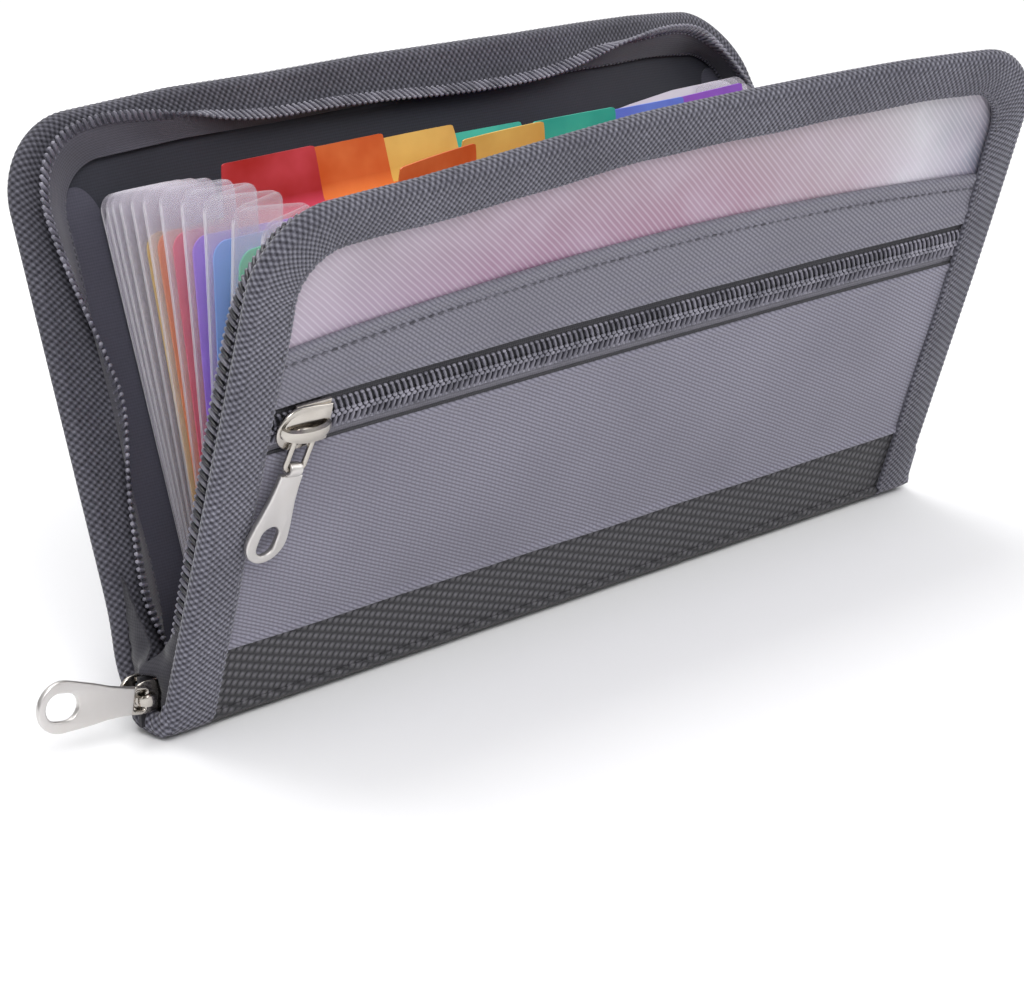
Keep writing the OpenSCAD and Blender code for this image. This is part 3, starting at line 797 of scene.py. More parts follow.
def pocket_coil():
    """Two rows of oblique teeth over a dark cord, meeting in a row of small heads; heads and roots take a lighter coil
    copy as painted highlight.
    """
    pitch = 1.28
    xs = np.arange(-85.5, 86.5, pitch)
    for nm, kind in (("teeth", 0), ("heads", 1), ("roots", 2)):
        P, T, N = [], [], []
        for row in (-1, 1):
            xa = xs + (pitch / 2 if row > 0 else 0)
            if kind == 0:
                s, y, dx, ds = 60.2 + row * 1.7, -5.25, -0.36 * row - 0.14, 1.0
            elif kind == 1:
                s, y, dx, ds, xa = 60.2 + row * 0.36, -5.34, 1.0, 0.0, xa + 0.6
            else:
                s, y, dx, ds, xa = 60.2 + row * 2.66, -5.1, 1.0, -0.3 * row, xa - 0.5
            s = s + 0 * xa
            p = FP(xa, y, s)
            P.append(p)
            T.append(FP(xa + dx, y, s + ds) - p)
            N.append(FP(xa, y - 1, s) - p)
        P, T, N = map(np.concatenate, (P, T, N))
        if kind == 0:
            ob = grains("pocket_zip_teeth", P, T, N, 1.22, 0.27, 0.46, M["coil_mid"], pw=0.75, nu=8, nv=6)
            ride(ob, "front_cover", "zip_coil", "pocket_zip_coil")
        elif kind == 1:
            # painted highlight: heads and roots take the lighter coil copy
            ride(grains("pocket_zip_heads", P, T, N, 0.46, 0.4, 0.34, M["coil_painted_highlight"], pw=0.85), "front_cover", "zip_coil")
        else:
            ride(grains("pocket_zip_roots", P, T, N, 0.42, 0.3, 0.36, M["coil_painted_highlight"], pw=0.85), "front_cover", "zip_coil")


pocket_coil()


# ---------------------------------------------------------------- main zip
def spline(pts, n):
    """Smooth curve through the points (Catmull-Rom), resampled evenly to n points."""
    P = np.array(pts, float)
    P = np.vstack([2 * P[0] - P[1], P, 2 * P[-1] - P[-2]])
    out = []
    for i in range(1, len(P) - 2):
        t = np.linspace(0, 1, 24, endpoint=False)[:, None]
        a, b, c, d = P[i - 1], P[i], P[i + 1], P[i + 2]
        out.append(0.5 * (2 * b + (c - a) * t + (2 * a - 5 * b + 4 * c - d) * t * t + (3 * b - a - 3 * c + d) * t ** 3))
    out.append(P[-2][None])
    Q = np.vstack(out)
    L = np.concatenate([[0], np.cumsum(np.linalg.norm(np.diff(Q, axis=0), axis=1))])
    g = np.linspace(0, L[-1], n)
    return np.stack([np.interp(g, L, Q[:, k]) for k in range(Q.shape[1])], -1), g


# lines of the coils in (x, s, y), from the left foot round to the right foot
REAR_LINE = [(-86.5, 9.0, -0.6), (-88.0, 13, -0.3), (-90.0, 20.5, 0.0), (-89.3, 32, 0.3), (-88.2, 40.5, 0.4), (-86.0, 52.5, 0.5), (-86.8, 60.5, 0.5),
             (-88.4, 69, 0.5), (-90.0, 77.5, 0.5), (-91.0, 84, 0.5), (-91.2, 89.5, 0.5), (-89.6, 94.8, 0.5), (-86.4, 98.4, 0.5), (-81.7, 100.6, 0.5), (-73.4, 101.0, 0.5),
             (-63.4, 99.6, 0.5), (-50, 97.2, 0.5), (-40.5, 96.3, 0.5), (-27.8, 96.1, 0.5), (-12.4, 95.4, 0.5), (3.4, 94.6, 0.5), (17.3, 94.5, 0.5),
             (31.1, 95.4, 0.6), (45.9, 97.9, 1.3), (60.7, 99.5, 3.0), (69.8, 99.3, 4.0), (76.3, 97.0, 4.2), (81.0, 92.5, 4.2), (84.5, 86.0, 4.2),
             (88.0, 76, 3.6), (90.5, 62, 3.0), (91.0, 46, 2.2), (91.5, 30, 1.2), (91.0, 18, 0.3), (89.0, 10, -0.6)]
FRONT_LINE = [(-91.0, 9.0, -0.9), (-92.1, 14, -0.5), (-92.3, 24, -0.2), (-92.3, 44, 0.3), (-92.4, 60, 0.7), (-92.2, 76, 0.9), (-91.7, 83.5, 1.0), (-90.5, 88.6, 1.0),
              (-88.6, 92.6, 1.0), (-85.5, 96.2, 1.0), (-81.7, 98.2, 1.0), (-77, 98.6, 0.9), (-70, 98.0, 0.6), (-60, 97.2, 0.3), (-40, 96.8, 0.1), (0, 96.8, 0.0), (40, 96.8, 0.0),
              (65, 97.2, 0.2), (75, 97.8, 0.5), (81, 96.8, 0.8), (86.0, 93.0, 1.0), (89.6, 88.0, 1.0), (91.2, 82, 0.9), (91.8, 60, 0.7), (91.8, 40, 0.2), (91.6, 20, -0.2), (91, 10, -0.8)]


def main_zip(tag, place, line, body, base_d, coil_m, coil_m2, width_in):
    """Tape from under the binding's inner edge out to the coil, and the coil's teeth along its edge."""
    n = 620
    Q, g = spline(line, n)
    X, Sx, Y = Q[:, 0], Q[:, 1], Q[:, 2]
    # nearest foot on the binding's inner face for each point of the line
    us, ls = u_steps(0.4, 4.0)
    bx, bs = outline(us, base_d, 4.0)
    cum = ls / ls[-1]
    f = g / g[-1]
    # match by direction from the cover's middle, kept monotonic
    ang_line = np.unwrap(np.arctan2(Sx - 40, X))
    ang_base = np.unwrap(np.arctan2(bs - 40, bx))
    ub = np.interp(-ang_line, -ang_base, us)
    ub = np.maximum.accumulate(ub)
    fx, fs = outline(ub, base_d, 4.0)
    k = np.linspace(0, 1, 9)
    wv = 0.35 * np.sin(g * 0.16 + 0.5) + 0.25 * np.sin(g * 0.33 + 1.9)
    K, I = np.meshgrid(k, np.arange(n))
    e = ss(K)
    px_ = fx[I] + (X[I] - fx[I]) * K
    ps_ = fs[I] + (Sx[I] - fs[I]) * K
    py_ = -2.5 + (Y[I] + 2.5) * (0.55 * K + 0.45 * e) + wv[I] * np.sin(K * np.pi) * 0.6
    A = place(px_, py_ + 0.18, ps_)
    B = place(px_, py_ - 0.18, ps_)
    uv = np.stack([np.broadcast_to(g[:, None], K.shape), K * 8.0], -1)
    # the front tape takes the darker tape copy as painted shade
    tape = slab(tag + "_main_tape", A, B, uv, M["tape"] if tag == "rear" else M["tape_shaded"])
    # teeth: oblique bars across the tape's edge, on the side that faces out
    m = int(g[-1] / 1.3)
    gi = (np.arange(m) + 0.5) * g[-1] / m
    tx_, ts_, ty_ = (np.interp(gi, g, q) for q in (X, Sx, Y))
    qx, qs = np.interp(gi, g, fx), np.interp(gi, g, fs)
    P = place(tx_, ty_, ts_)
    F0 = place(qx, -2.5 + 0 * qx, qs)
    across = P - F0
    across /= np.linalg.norm(across, axis=1, keepdims=True)
    if tag == "rear":
        # along the top the chain hangs over towards the middle of the cover
        w = (ss((tx_ + 68) / 22) * ss((60 - tx_) / 22) * (ts_ > 85))[:, None]
        hang = place(tx_, ty_ + 0.62, ts_ - 0.78) - P
        across = across * (1 - w) + hang / np.linalg.norm(hang, axis=1, keepdims=True) * w
        across /= np.linalg.norm(across, axis=1, keepdims=True)
    along = np.gradient(P, axis=0)
    along /= np.linalg.norm(along, axis=1, keepdims=True)
    nrm = np.cross(along, across)
    nrm /= np.linalg.norm(nrm, axis=1, keepdims=True)
    # outward: away from the cover's middle
    ctr = place(0.0, -2.0, 45.0)
    side = 1.0
    if tag == "rear":
        face = ((place(0.0, 3.0, 45.0) - place(0.0, 0.0, 45.0)) * nrm).sum(1, keepdims=True) / (3.0)
        flip = np.sign(face)
        side = np.clip(np.abs(face) * 2.2, 0, 1)
    else:
        flip = np.sign(((P - ctr) * nrm).sum(1, keepdims=True))
    nrm *= flip
    tdir = across + 0.42 * along
    # painted shade: on the front chain every other tooth takes the near-black coil copy
    pick = np.arange(m) % 2 if tag == "front" else np.zeros(m, int)
    P = P + nrm * 0.28 * side
    k_ = 1.0
    t1 = grains(tag + "_main_teeth", P + across * 0.1, tdir, nrm, 1.15 * k_ + 0.1, 0.36, 0.46 * k_, None, pw=0.75, mats=[M["coil_mid"], M["coil"] if tag == "rear" else M["coil_painted_shade"]], pick=pick)
    # painted highlight: heads and roots take the lighter coil copy
    t2 = grains(tag + "_main_heads", P + across * (1.1 * k_) + along * 0.45, along, nrm, 0.36, 0.26, 0.4 * k_, coil_m2, pw=0.85)
    t3 = grains(tag + "_main_roots", P - across * (1.1 * k_) - along * 0.4, along, nrm, 0.32, 0.24, 0.3, coil_m2, pw=0.85)
    return tape, t1, t2, t3


parts = main_zip("rear", RP, REAR_LINE, "rear_cover", 9.1, M["coil"], M["coil_painted_highlight"], 0)
ride(parts[0], "rear_cover", "zip_tape", "rear_zip_tape")
ride(parts[1], "rear_cover", "zip_coil", "rear_zip_coil")
ride(parts[2], "rear_cover", "zip_coil")
ride(parts[3], "rear_cover", "zip_coil")
parts = main_zip("front", FP, FRONT_LINE, "front_cover", 3.2, M["coil"], M["coil_painted_highlight"], 0)
ride(parts[0], "front_cover", "zip_tape", "front_zip_tape")
ride(parts[1], "front_cover", "zip_coil", "front_zip_coil")
ride(parts[2], "front_cover", "zip_coil")
ride(parts[3], "front_cover", "zip_coil")


# ---------------------------------------------------------------- accordion
def back_lean(k, x, r):
    """How far a front wall leans back at mid-width, in degrees, over its lean at the sides."""
    dm = {12: 5.0, 11: 10.2, 10: 8.1, 9: 4.2, 8: 0.2, 7: -2.7}.get(k, 0.0)
    w = np.clip(1 - (np.abs(x) / 77.5) ** 2.2, 0, 1)
    return dm * w * np.clip(r / 60, 0, 1)


def WP(k, x, r, off=0.0):
    x, r, off = arr(x, r, off)
    a = np.radians(LEAN[k] + back_lean(k, x, r))
    o = (6.5 - k) * 0.42
    return np.stack([x, (o + off) * np.cos(a) + r * np.sin(a), AZ - (o + off) * np.sin(a) + r * np.cos(a)], -1)


RAIN = [("purple", lin(164, 104, 232), lin(136, 74, 186)), ("blue", lin(108, 158, 246), lin(98, 122, 222)), ("green", lin(56, 196, 160), lin(44, 166, 148)),
        ("yellow", lin(246, 206, 104), lin(218, 170, 82)), ("orange", lin(248, 142, 70), lin(204, 86, 28)), ("red", lin(236, 84, 104), lin(174, 38, 34))]
for cname, c1, c2 in RAIN:
    M["idx_" + cname] = film_mat("index_" + cname, c1, c2, 0.93, 0.34, 80.5, 83.0, spec=0.4)


def divider(k):
    g = (k - 1) % 6
    tx = -66 + (5 - g) * 19.6
    w = 77.5
    wl = {1: 70.5, 2: 72.0, 3: 73.5}.get(k, w)      # the hindmost sheets start a little further in
    th = {1: 4.0, 2: 4.8, 3: 6.0, 4: 7.8, 5: 9.0, 6: 10.0, 7: 7.6, 8: 8.4, 9: 9.5}.get(k, 10.0)

    def hi(x):
        t = np.clip(np.minimum((x - (tx - 0.3)) / 1.0, (tx + 21.5 + 0.3 - x) / 1.0), 0, 1)
        q = np.clip(np.where(x < 0, -x - (wl - 3.0), x - (w - 3.0)), 0, 3.0)
        side = 77.8 + np.sqrt(np.maximum(9.0 - q * q, 0)) - 0.8 * ss((x + 20) / 60)
        rnd = np.clip(np.minimum(x - tx, tx + 21.5 - x), 0, 1.5)
        tab = th - (1.5 - np.sqrt(np.maximum(2.25 - (1.5 - rnd) ** 2, 0)))
        return side + np.where(t > 0, tab * ss(t), 0.0)

    xs = np.unique(np.round(np.concatenate([
        -wl + 3 - 3 * np.sin(np.linspace(0, np.pi / 2, 7)), w - 3 + 3 * np.sin(np.linspace(0, np.pi / 2, 7)), np.linspace(-wl + 3, w - 3, 40),
        tx - 0.3 + np.linspace(0, 2.2, 12), tx + 21.8 - np.linspace(0, 2.2, 12)]), 4))
    X, T = np.meshgrid(xs, np.linspace(0, 1, 26), indexing="ij")
    lo = 8.0
    R = lo + (hi(X) - lo) * T
    c = RAIN[g][0]
    ob = slab("index_sheet_%02d" % k, WP(k, X, R, 0.15), WP(k, X, R, -0.15), np.stack([X, R], -1), M["idx_" + c])
    ride(ob, "divider_%02d" % k, "index_" + c, "divider_%02d" % k)
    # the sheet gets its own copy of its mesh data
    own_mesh(ob)
    return ob


for k in range(1, 13):
    divider(k)
XB, TB = np.meshgrid(xcols(78.6, 6.0, 60, 10), np.linspace(0, 1, 24), indexing="ij")
qb = np.clip(np.abs(XB) - 72.6, 0, 6.0)
TOPB = np.interp(XB, [-79, -66, -56, -40, 20, 48, 60, 79], [88.6, 88.2, 84.0, 82.0, 82.0, 85.2, 86.2, 86.2])
RB = 4.0 + (TOPB - 6.0 + np.sqrt(np.maximum(36 - qb * qb, 0)) - 4.0) * TB
M["back"] = film_mat("back_film", lin(196, 190, 204), lin(222, 216, 228), 0.75, 0.35)
o = slab("accordion_back_sheet", WP(0, XB, RB, 0.15), WP(0, XB, RB, -0.15), np.stack([XB, RB], -1), M["back"])
ride(o, "back_board", "clear_film", "back_board")


def gusset_mat(name):
    """Frosted film with whiter fold lines: u is the place across the pleat, 0 and 2 at the outer folds, 1 at the inner."""
    k = Nodes(name)
    u, v, uv = k.uv()
    fold = k.math("ABSOLUTE", k.math("SUBTRACT", u, 1.0))
    outer = k.math("POWER", fold, 60.0)
    inner = k.math("POWER", k.math("SUBTRACT", 1.0, fold), 30.0)
    topw = k.maprange(v, 87.9, 88.7)
    streak = k.noise(k.n("ShaderNodeCombineXYZ", 0, X=k.math("MULTIPLY", u, 9.0), Y=k.math("MULTIPLY", v, 0.02)), 1.0, 2.0)
    e = k.math("ADD", k.math("MULTIPLY", outer, 0.9), k.math("ADD", k.math("MULTIPLY", inner, 0.25), k.math("MULTIPLY", topw, 0.35)), clamp=True)
    base = k.mix(k.maprange(streak, 0.3, 0.7, 0.0, 0.35), lin(206, 200, 212), lin(228, 224, 236))
    col = k.mix(e, base, lin(252, 250, 255))
    al = k.math("ADD", k.maprange(v, 40.0, 86.0, 0.06, 0.18), k.math("MULTIPLY", e, 0.3), clamp=True)
    return k.set(Base_Color=col, Roughness=0.36, Alpha=al, Specular_IOR_Level=0.5)


M["gusset"] = gusset_mat("pleat_film")


def gusset(k):
    """Pleat between wall k-1 and wall k at both ends: outer folds on the walls, inner fold midway."""
    a, b = k - 1, k
    xo, xi, top = 79.0, 65.5, 88.8
    V, Q, UV = [], [], []
    base = 0
    nr = 30
    out = []
    for side in (-1, 1):
        wc = np.array([0, .008, .03, .065, .11, .165, .22, .4, .6, .8, .86, .90, .94, .97, .99, 1.0])
        f = np.concatenate([wc, 2 - wc[-2::-1]])
        w = 1 - np.abs(f - 1)
        r_lo = 6.0
        do, di = np.clip(3.0 - 13.5 * w, 0, 3), np.clip(2.2 - 13.5 * (1 - w), 0, 2.2)
        tp = top if side < 0 else {1: 86.2, 2: 84.5, 9: 84.0, 10: 87.0}.get(k, 81.6 if k < 9 else 88.6)
        hi = tp - (3.0 - np.sqrt(9.0 - do * do)) - (2.2 - np.sqrt(2.2 ** 2 - di * di))
        F, T = np.meshgrid(f, np.linspace(0, 1, nr), indexing="ij")
        R = r_lo + (hi[:, None] - r_lo) * T
        Wf = 1 - np.abs(F - 1)
        Xp = side * (xo - (xo - xi) * Wf)
        # soft folds
        g = F / 2
        PA = WP(a, np.full_like(R, side * 79.0), R, -0.17)
        PB = WP(b, np.full_like(R, side * 79.0), R, 0.17)
        t = ss(g) * 0.35 + g * 0.65
        P = PA * (1 - t[..., None]) + PB * t[..., None]
        P[..., 0] = Xp
        # thickness along the local normal
        dPu = np.gradient(P, axis=0)
        dPv = np.gradient(P, axis=1)
        N = np.cross(dPu, dPv)
        N /= np.linalg.norm(N, axis=-1, keepdims=True) + 1e-9
        out.append((P + N * 0.08, P - N * 0.08, np.stack([F, R], -1)))
    A0, B0, U0 = out[0]
    A1, B1, U1 = out[1]
    s1 = slab("pleat_%02d_l" % k, A0, B0, U0, M["gusset"], sharp=70)
    s2 = slab("pleat_%02d_r" % k, A1, B1, U1, M["gusset"], sharp=70)
    body = lambda q: "back_board" if q == 0 else ("front_cover" if q == 13 else "divider_%02d" % q)
    for ob in (s1, s2):
        pa = WP(a, -79.0, 60.0)
        pb = WP(b, -79.0, 60.0)
        an = 0.5 * (LEAN[a] + LEAN[b])
        n = np.array([0.0, math.cos(math.radians(an)), -math.sin(math.radians(an))])
        # blend by the place across the pleat, not by distance: give the weight along the walls' common normal
        dist = ((pb - pa) @ n)
        c = (pa + pb) / 2
        e = n * abs(dist) / 2
        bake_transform(ob, body(a), body(b), start=tuple((c + e) * MM), end=tuple((c - e) * MM))
        # the exact share: 0 at wall a, 1 at wall b
        att = ob.data.attributes.get("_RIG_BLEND")
        uvl = ob.data.uv_layers["MM"]
        nv = len(ob.data.vertices)
        share = np.zeros(nv, np.float32)
        li = np.zeros(len(ob.data.loops), np.int32)
        ob.data.loops.foreach_get("vertex_index", li)
        uvd = np.zeros(len(ob.data.loops) * 2, np.float32)
        uvl.data.foreach_get("uv", uvd)
        share[li] = uvd[0::2] / 2
        att.data.foreach_set("value", share)
    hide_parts("gusset_%02d" % k)


for k in range(1, 14):
    gusset(k)


# ---------------------------------------------------------------- spine
def spine_half(name, side, xs, off, mat, body, peb=False, nodes=()):
    """Half of the fabric round the spine: from the middle of the underside up to a cover's lower edge."""
    prof = np.array([(0.0, 0.12), (1.5, 0.1), (3.2, 0.16), (4.3, 0.5), (4.95, 1.15), (5.25, 1.95), (5.47, 2.8)])
    pr, g = spline(prof, 24)
    X, I = np.meshgrid(xs, np.arange(len(g)), indexing="ij")
    t = np.gradient(pr, axis=0)
    t /= np.linalg.norm(t, axis=1, keepdims=True)
    nrm = np.stack([t[:, 1], -t[:, 0]], -1)
    o_ = off
    hh = pebble_height(X, g[I]) * 0.12 if peb else 0.05 * wave(X * 2, g[I] * 3)
    Yo = pr[I, 0] + nrm[I, 0] * (o_ + hh)
    Zo = pr[I, 1] + nrm[I, 1] * (o_ + hh)
    Yi = pr[I, 0] - nrm[I, 0] * 0.45
    Zi = pr[I, 1] - nrm[I, 1] * 0.45
    A = np.stack([X, side * Yo, np.maximum(Zo, 0.02)], -1)
    B = np.stack([X, side * Yi, Zi], -1)
    ob = slab(name, A, B, np.stack([X, g[I] - 2.0], -1), mat)
    cov = "front_cover" if side < 0 else "rear_cover"
    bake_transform(ob, "spine", cov, start=(0, side * 2.5 * MM, 0.0005), end=(0, side * 5.6 * MM, 0.0035))
    if nodes:
        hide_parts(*nodes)
    return ob


M["spine"] = M["dobby"]
spine_half("spine_cloth_front", -1, np.linspace(-93.0, 93.0, 120), 0.0, M["spine"], None, nodes=("spine_wrap",))
spine_half("spine_cloth_rear", 1, np.linspace(-93.0, 93.0, 120), 0.0, M["spine"], None)


def spine_end(name, side, i, nodes=()):
    """Binding that runs round the lower end of a cover and the spine, at one end of the wallet."""
    xs = np.concatenate([[94.9], np.linspace(94.9, 85.6, 28)]) * i
    prof = np.array([(0.0, -0.02), (1.6, -0.02), (3.1, 0.15), (4.5, 0.62), (5.45, 1.55), (6.0, 2.9), (6.55, 4.6), (7.2, 6.8), (7.9, 9.0)])
    pr, g = spline(prof, 34)
    X, I = np.meshgrid(xs, np.arange(len(g)), indexing="ij")
    t = np.gradient(pr, axis=0)
    t /= np.linalg.norm(t, axis=1, keepdims=True)
    nrm = np.stack([t[:, 1], -t[:, 0]], -1)
    # rounded outer edge
    q = np.clip((np.abs(X) - 93.4) / 1.5, 0, 1)
    rnd = 1.3 * (1 - np.sqrt(np.maximum(1 - q * q, 0)))
    hh = pebble_height(g[I] * 1.0, np.abs(X)) * 0.14 - rnd
    Yo = pr[I, 0] + nrm[I, 0] * hh
    Zo = pr[I, 1] + nrm[I, 1] * hh
    inn = 0.55 + rnd * 0.2
    Yi = pr[I, 0] - nrm[I, 0] * (inn + rnd * 0.6)
    Zi = pr[I, 1] - nrm[I, 1] * (inn + rnd * 0.6)
    A = np.stack([X, side * Yo, np.maximum(Zo, 0.0)], -1)
    B = np.stack([X, side * Yi, Zi + 0.15], -1)
    mat = M["bind"] if side < 0 else M["bind_rear"]
    ob = slab(name, A, B, np.stack([g[I], np.abs(X)], -1), mat)
    cov = "front_cover" if side < 0 else "rear_cover"
    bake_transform(ob, "spine", cov, start=(0, side * 2.5 * MM, 0.0005), end=(0, side * 5.8 * MM, 0.0038))
    if nodes:
        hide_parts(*nodes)
    return ob


spine_end("spine_end_front_l", -1, -1, ("spine_binding",))
spine_end("spine_end_front_r", -1, 1)
spine_end("spine_end_rear_l", 1, -1)
spine_end("spine_end_rear_r", 1, 1)

# gathered tape between the covers at both ends of the spine, in the darker tape copy as painted shade: one half goes
# with each cover
def foot_web(name, i, side):
    n, m = 22, 40
    a = np.linspace(0, 1, n)
    b = np.linspace(0, 1, m)
    Ag, Bg = np.meshgrid(a, b, indexing="ij")
    ztop = 13.2 + 12.0 * Ag ** 1.4
    z = 1.0 + (ztop - 1.0) * Bg
    half = np.maximum(2.75 + (z - 3.0) * 0.335, 2.3)
    y = Ag * half
    hood = np.exp(-((z - 11.8) / 1.7) ** 2) * np.exp(-(y / 3.2) ** 2)
    fold = 0.32 * np.sin(Ag * 9.0 + Bg * 2.0) * Bg + 0.14 * np.sin(z * 1.9 + Ag * 4)
    x = i * (94.0 - 0.10 * np.clip(z - 9, 0, None) + (2.6 if i < 0 else 0.0) * hood - 1.6 * np.clip((z - 12.5) / 8, 0, 1) * (1 - Ag) + fold * 0.8)
    A = np.stack([x + i * 0.2, side * y, z], -1)
    B = np.stack([x - i * 0.2, side * y, z], -1)
    zc = 0.25 * (z[:-1, :-1] + z[1:, :-1] + z[:-1, 1:] + z[1:, 1:])
    yc = 0.25 * (y[:-1, :-1] + y[1:, :-1] + y[:-1, 1:] + y[1:, 1:])
    mask = ~((yc < 2.7) & (zc < 11.4)) if i < 0 else np.ones_like(zc, bool)
    ob = slab(name, A, B, np.stack([Ag * 8, z], -1), M["tape_shaded"], mask)
    cov = "front_cover" if side < 0 else "rear_cover"
    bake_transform(ob, "spine", cov, start=(0, 0, 0.003), end=(0, side * 6.5 * MM, 0.012))
    co_ = np.zeros(len(ob.data.vertices) * 3, np.float32)
    ob.data.vertices.foreach_get("co", co_)
    co_ = co_.reshape(-1, 3) / MM
    hv = np.maximum(2.75 + (co_[:, 2] - 3.0) * 0.335, 2.3)
    ob.data.attributes["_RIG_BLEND"].data.foreach_set("value", ss(np.abs(co_[:, 1]) / hv).astype(np.float32))
    return ob


def foot_cap(name, i, side):
    """Folded end of the binding that closes the spine under the zip's end."""
    n, m = 30, 34
    Ag, Bg = np.meshgrid(np.linspace(0, 1, n), np.linspace(0, 1, m), indexing="ij")
    half = 5.35
    y = Ag * half
    zt = 4.3 + 2.2 * ss((y - 2.6) / 2.0)
    z = 0.15 + 1.1 * ss((y - 3.4) / 2.2) + (zt - 0.15 - 1.1 * ss((y - 3.4) / 2.2)) * Bg
    bul = np.sin(np.pi * np.clip(Bg * 0.96 + 0.02, 0, 1)) ** 0.55
    x = 94.7 + 1.35 * bul * (1 - 0.75 * Ag ** 2.5) + 0.16 * pebble_height(z, y) + 0.1 * np.sin(y * 3.1)
    A = np.stack([i * x, side * y, z], -1)
    B = np.stack([i * (94.2 + 0 * x), side * y, z], -1)
    ob = slab(name, A, B, np.stack([z, y], -1), M["bind"] if side < 0 else M["bind_rear"])
    cov = "front_cover" if side < 0 else "rear_cover"
    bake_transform(ob, "spine", cov, start=(0, side * 1.5 * MM, 0.003), end=(0, side * 5.4 * MM, 0.003))
    return ob


for i_ in (-1, 1):
    for s_ in (-1, 1):
        foot_cap("foot_cap_%s%s" % ("l" if i_ < 0 else "r", "f" if s_ < 0 else "b"), i_, s_)
        foot_web("foot_web_%s%s" % ("l" if i_ < 0 else "r", "f" if s_ < 0 else "b"), i_, s_)


# ---------------------------------------------------------------- sliders and pulls
def plate_obj(name, loops, t, bevel, mat, bres=3):
    """Flat plate with rounded edges from 2D outlines (the first is outside), lying in XY, t thick about z = 0."""
    cu = bpy.data.curves.new(name, "CURVE")
    cu.dimensions = "2D"
    cu.fill_mode = "BOTH"
    cu.extrude = (t / 2 - bevel) * MM
    cu.bevel_depth = bevel * MM
    cu.bevel_resolution = bres
    cu.offset = -bevel * MM
    for lp in loops:
        sp = cu.splines.new("POLY")
        sp.points.add(len(lp) - 1)
        for p, (x, y) in zip(sp.points, lp):
            p.co = (x * MM, y * MM, 0, 1)
        sp.use_cyclic_u = True
    ob = bpy.data.objects.new(name + "_c", cu)
    bpy.context.scene.collection.objects.link(ob)
    bpy.context.view_layer.update()
    dg = bpy.context.evaluated_depsgraph_get()
    me = bpy.data.meshes.new_from_object(ob.evaluated_get(dg))
    bpy.data.objects.remove(ob, do_unlink=True)
    bm = bmesh.new()
    bm.from_mesh(me)
    bmesh.ops.remove_doubles(bm, verts=bm.verts, dist=2e-6)
    bmesh.ops.recalc_face_normals(bm, faces=bm.faces)
    bm.to_mesh(me)
    bm.free()
    me.polygons.foreach_set("use_smooth", np.ones(len(me.polygons), bool))
    me.set_sharp_from_angle(angle=math.radians(40))
    me.materials.clear()
    me.materials.append(mat)
    res = bpy.data.objects.new(name, me)
    bpy.context.scene.collection.objects.link(res)
    return res


def pull_outline(length, w, n=24, neck=4.6):
    """From the wrapped end at x = 0 to the round end; x along the tab."""
    c = length - w / 2
    top = [(0.0, neck / 2 - 0.1), (2.2, neck / 2), (5.0, neck / 2 + 0.35), (8.0, neck / 2 + 1.0), (c - 3.0, w / 2 - 0.35), (c - 0.8, w / 2 - 0.02)]
    arc = [(c + w / 2 * math.sin(a), w / 2 * math.cos(a)) for a in np.linspace(0.0, math.pi, n)]
    bot = [(x, -y) for x, y in top[::-1]]
    pts = top + arc + bot
    return pts


def oblong(cx, l, w, n=12):
    r = w / 2
    a = [(cx + (l - w) / 2 + r * math.cos(t), r * math.sin(t)) for t in np.linspace(-math.pi / 2, math.pi / 2, n)]
    b = [(cx - (l - w) / 2 + r * math.cos(t), r * math.sin(t)) for t in np.linspace(math.pi / 2, 1.5 * math.pi, n)]
    return a + b


def ring_bar(name, pts, r, mat, closed=True, sub=10):
    """Round bar bent through points, as a mesh tube."""
    cu = bpy.data.curves.new(name, "CURVE")
    cu.dimensions = "3D"
    cu.bevel_depth = r * MM
    cu.bevel_resolution = 4
    cu.use_fill_caps = True
    sp = cu.splines.new("POLY")
    sp.points.add(len(pts) - 1)
    for p, q in zip(sp.points, pts):
        p.co = (q[0] * MM, q[1] * MM, q[2] * MM, 1)
    sp.use_cyclic_u = closed
    ob = bpy.data.objects.new(name + "_c", cu)
    bpy.context.scene.collection.objects.link(ob)
    bpy.context.view_layer.update()
    dg = bpy.context.evaluated_depsgraph_get()
    me = bpy.data.meshes.new_from_object(ob.evaluated_get(dg))
    bpy.data.objects.remove(ob, do_unlink=True)
    me.polygons.foreach_set("use_smooth", np.ones(len(me.polygons), bool))
    me.materials.clear()
    me.materials.append(mat)
    res = bpy.data.objects.new(name, me)
    bpy.context.scene.collection.objects.link(res)
    return res


def join(obs, name):
    """One object from several, keeping each one's material."""
    bm = bmesh.new()
    mats = []
    for ob in obs:
        off = []
        for m in ob.data.materials:
            if m not in mats:
                mats.append(m)
            off.append(mats.index(m))
        me = ob.data.copy()
        me.transform(ob.matrix_world)
        n0 = len(bm.faces)
        bm.from_mesh(me)
        bm.faces.ensure_lookup_table()
        for f in bm.faces[n0:]:
            f.material_index = off[min(f.material_index, len(off) - 1)]
        bpy.data.meshes.remove(me)
    me = bpy.data.meshes.new(name)
    bm.to_mesh(me)
    bm.free()
    for m in mats:
        me.materials.append(m)
    for ob in obs:
        bpy.data.objects.remove(ob, do_unlink=True)
    me.set_sharp_from_angle(angle=math.radians(40))
    res = bpy.data.objects.new(name, me)
    bpy.context.scene.collection.objects.link(res)
    return res


def place_mat(origin, ex, ey, ez):
    m = Matrix.Identity(4)
    for i, e in enumerate((ex, ey, ez)):
        for j in range(3):
            m[j][i] = e[j]
    for j in range(3):
        m[j][3] = origin[j] * MM
    return m


# frame of the front cover at the pocket slider: X along the chain, s up the cover, outward normal
EX = np.array([1.0, 0, 0])
ES = np.array([0, -S, C])
EN = np.array([0, -C, -S])
PSX, PSS = -79.0, 60.3


def front_pt(x, y, s):
    return FP(x, y, s, bow=False)


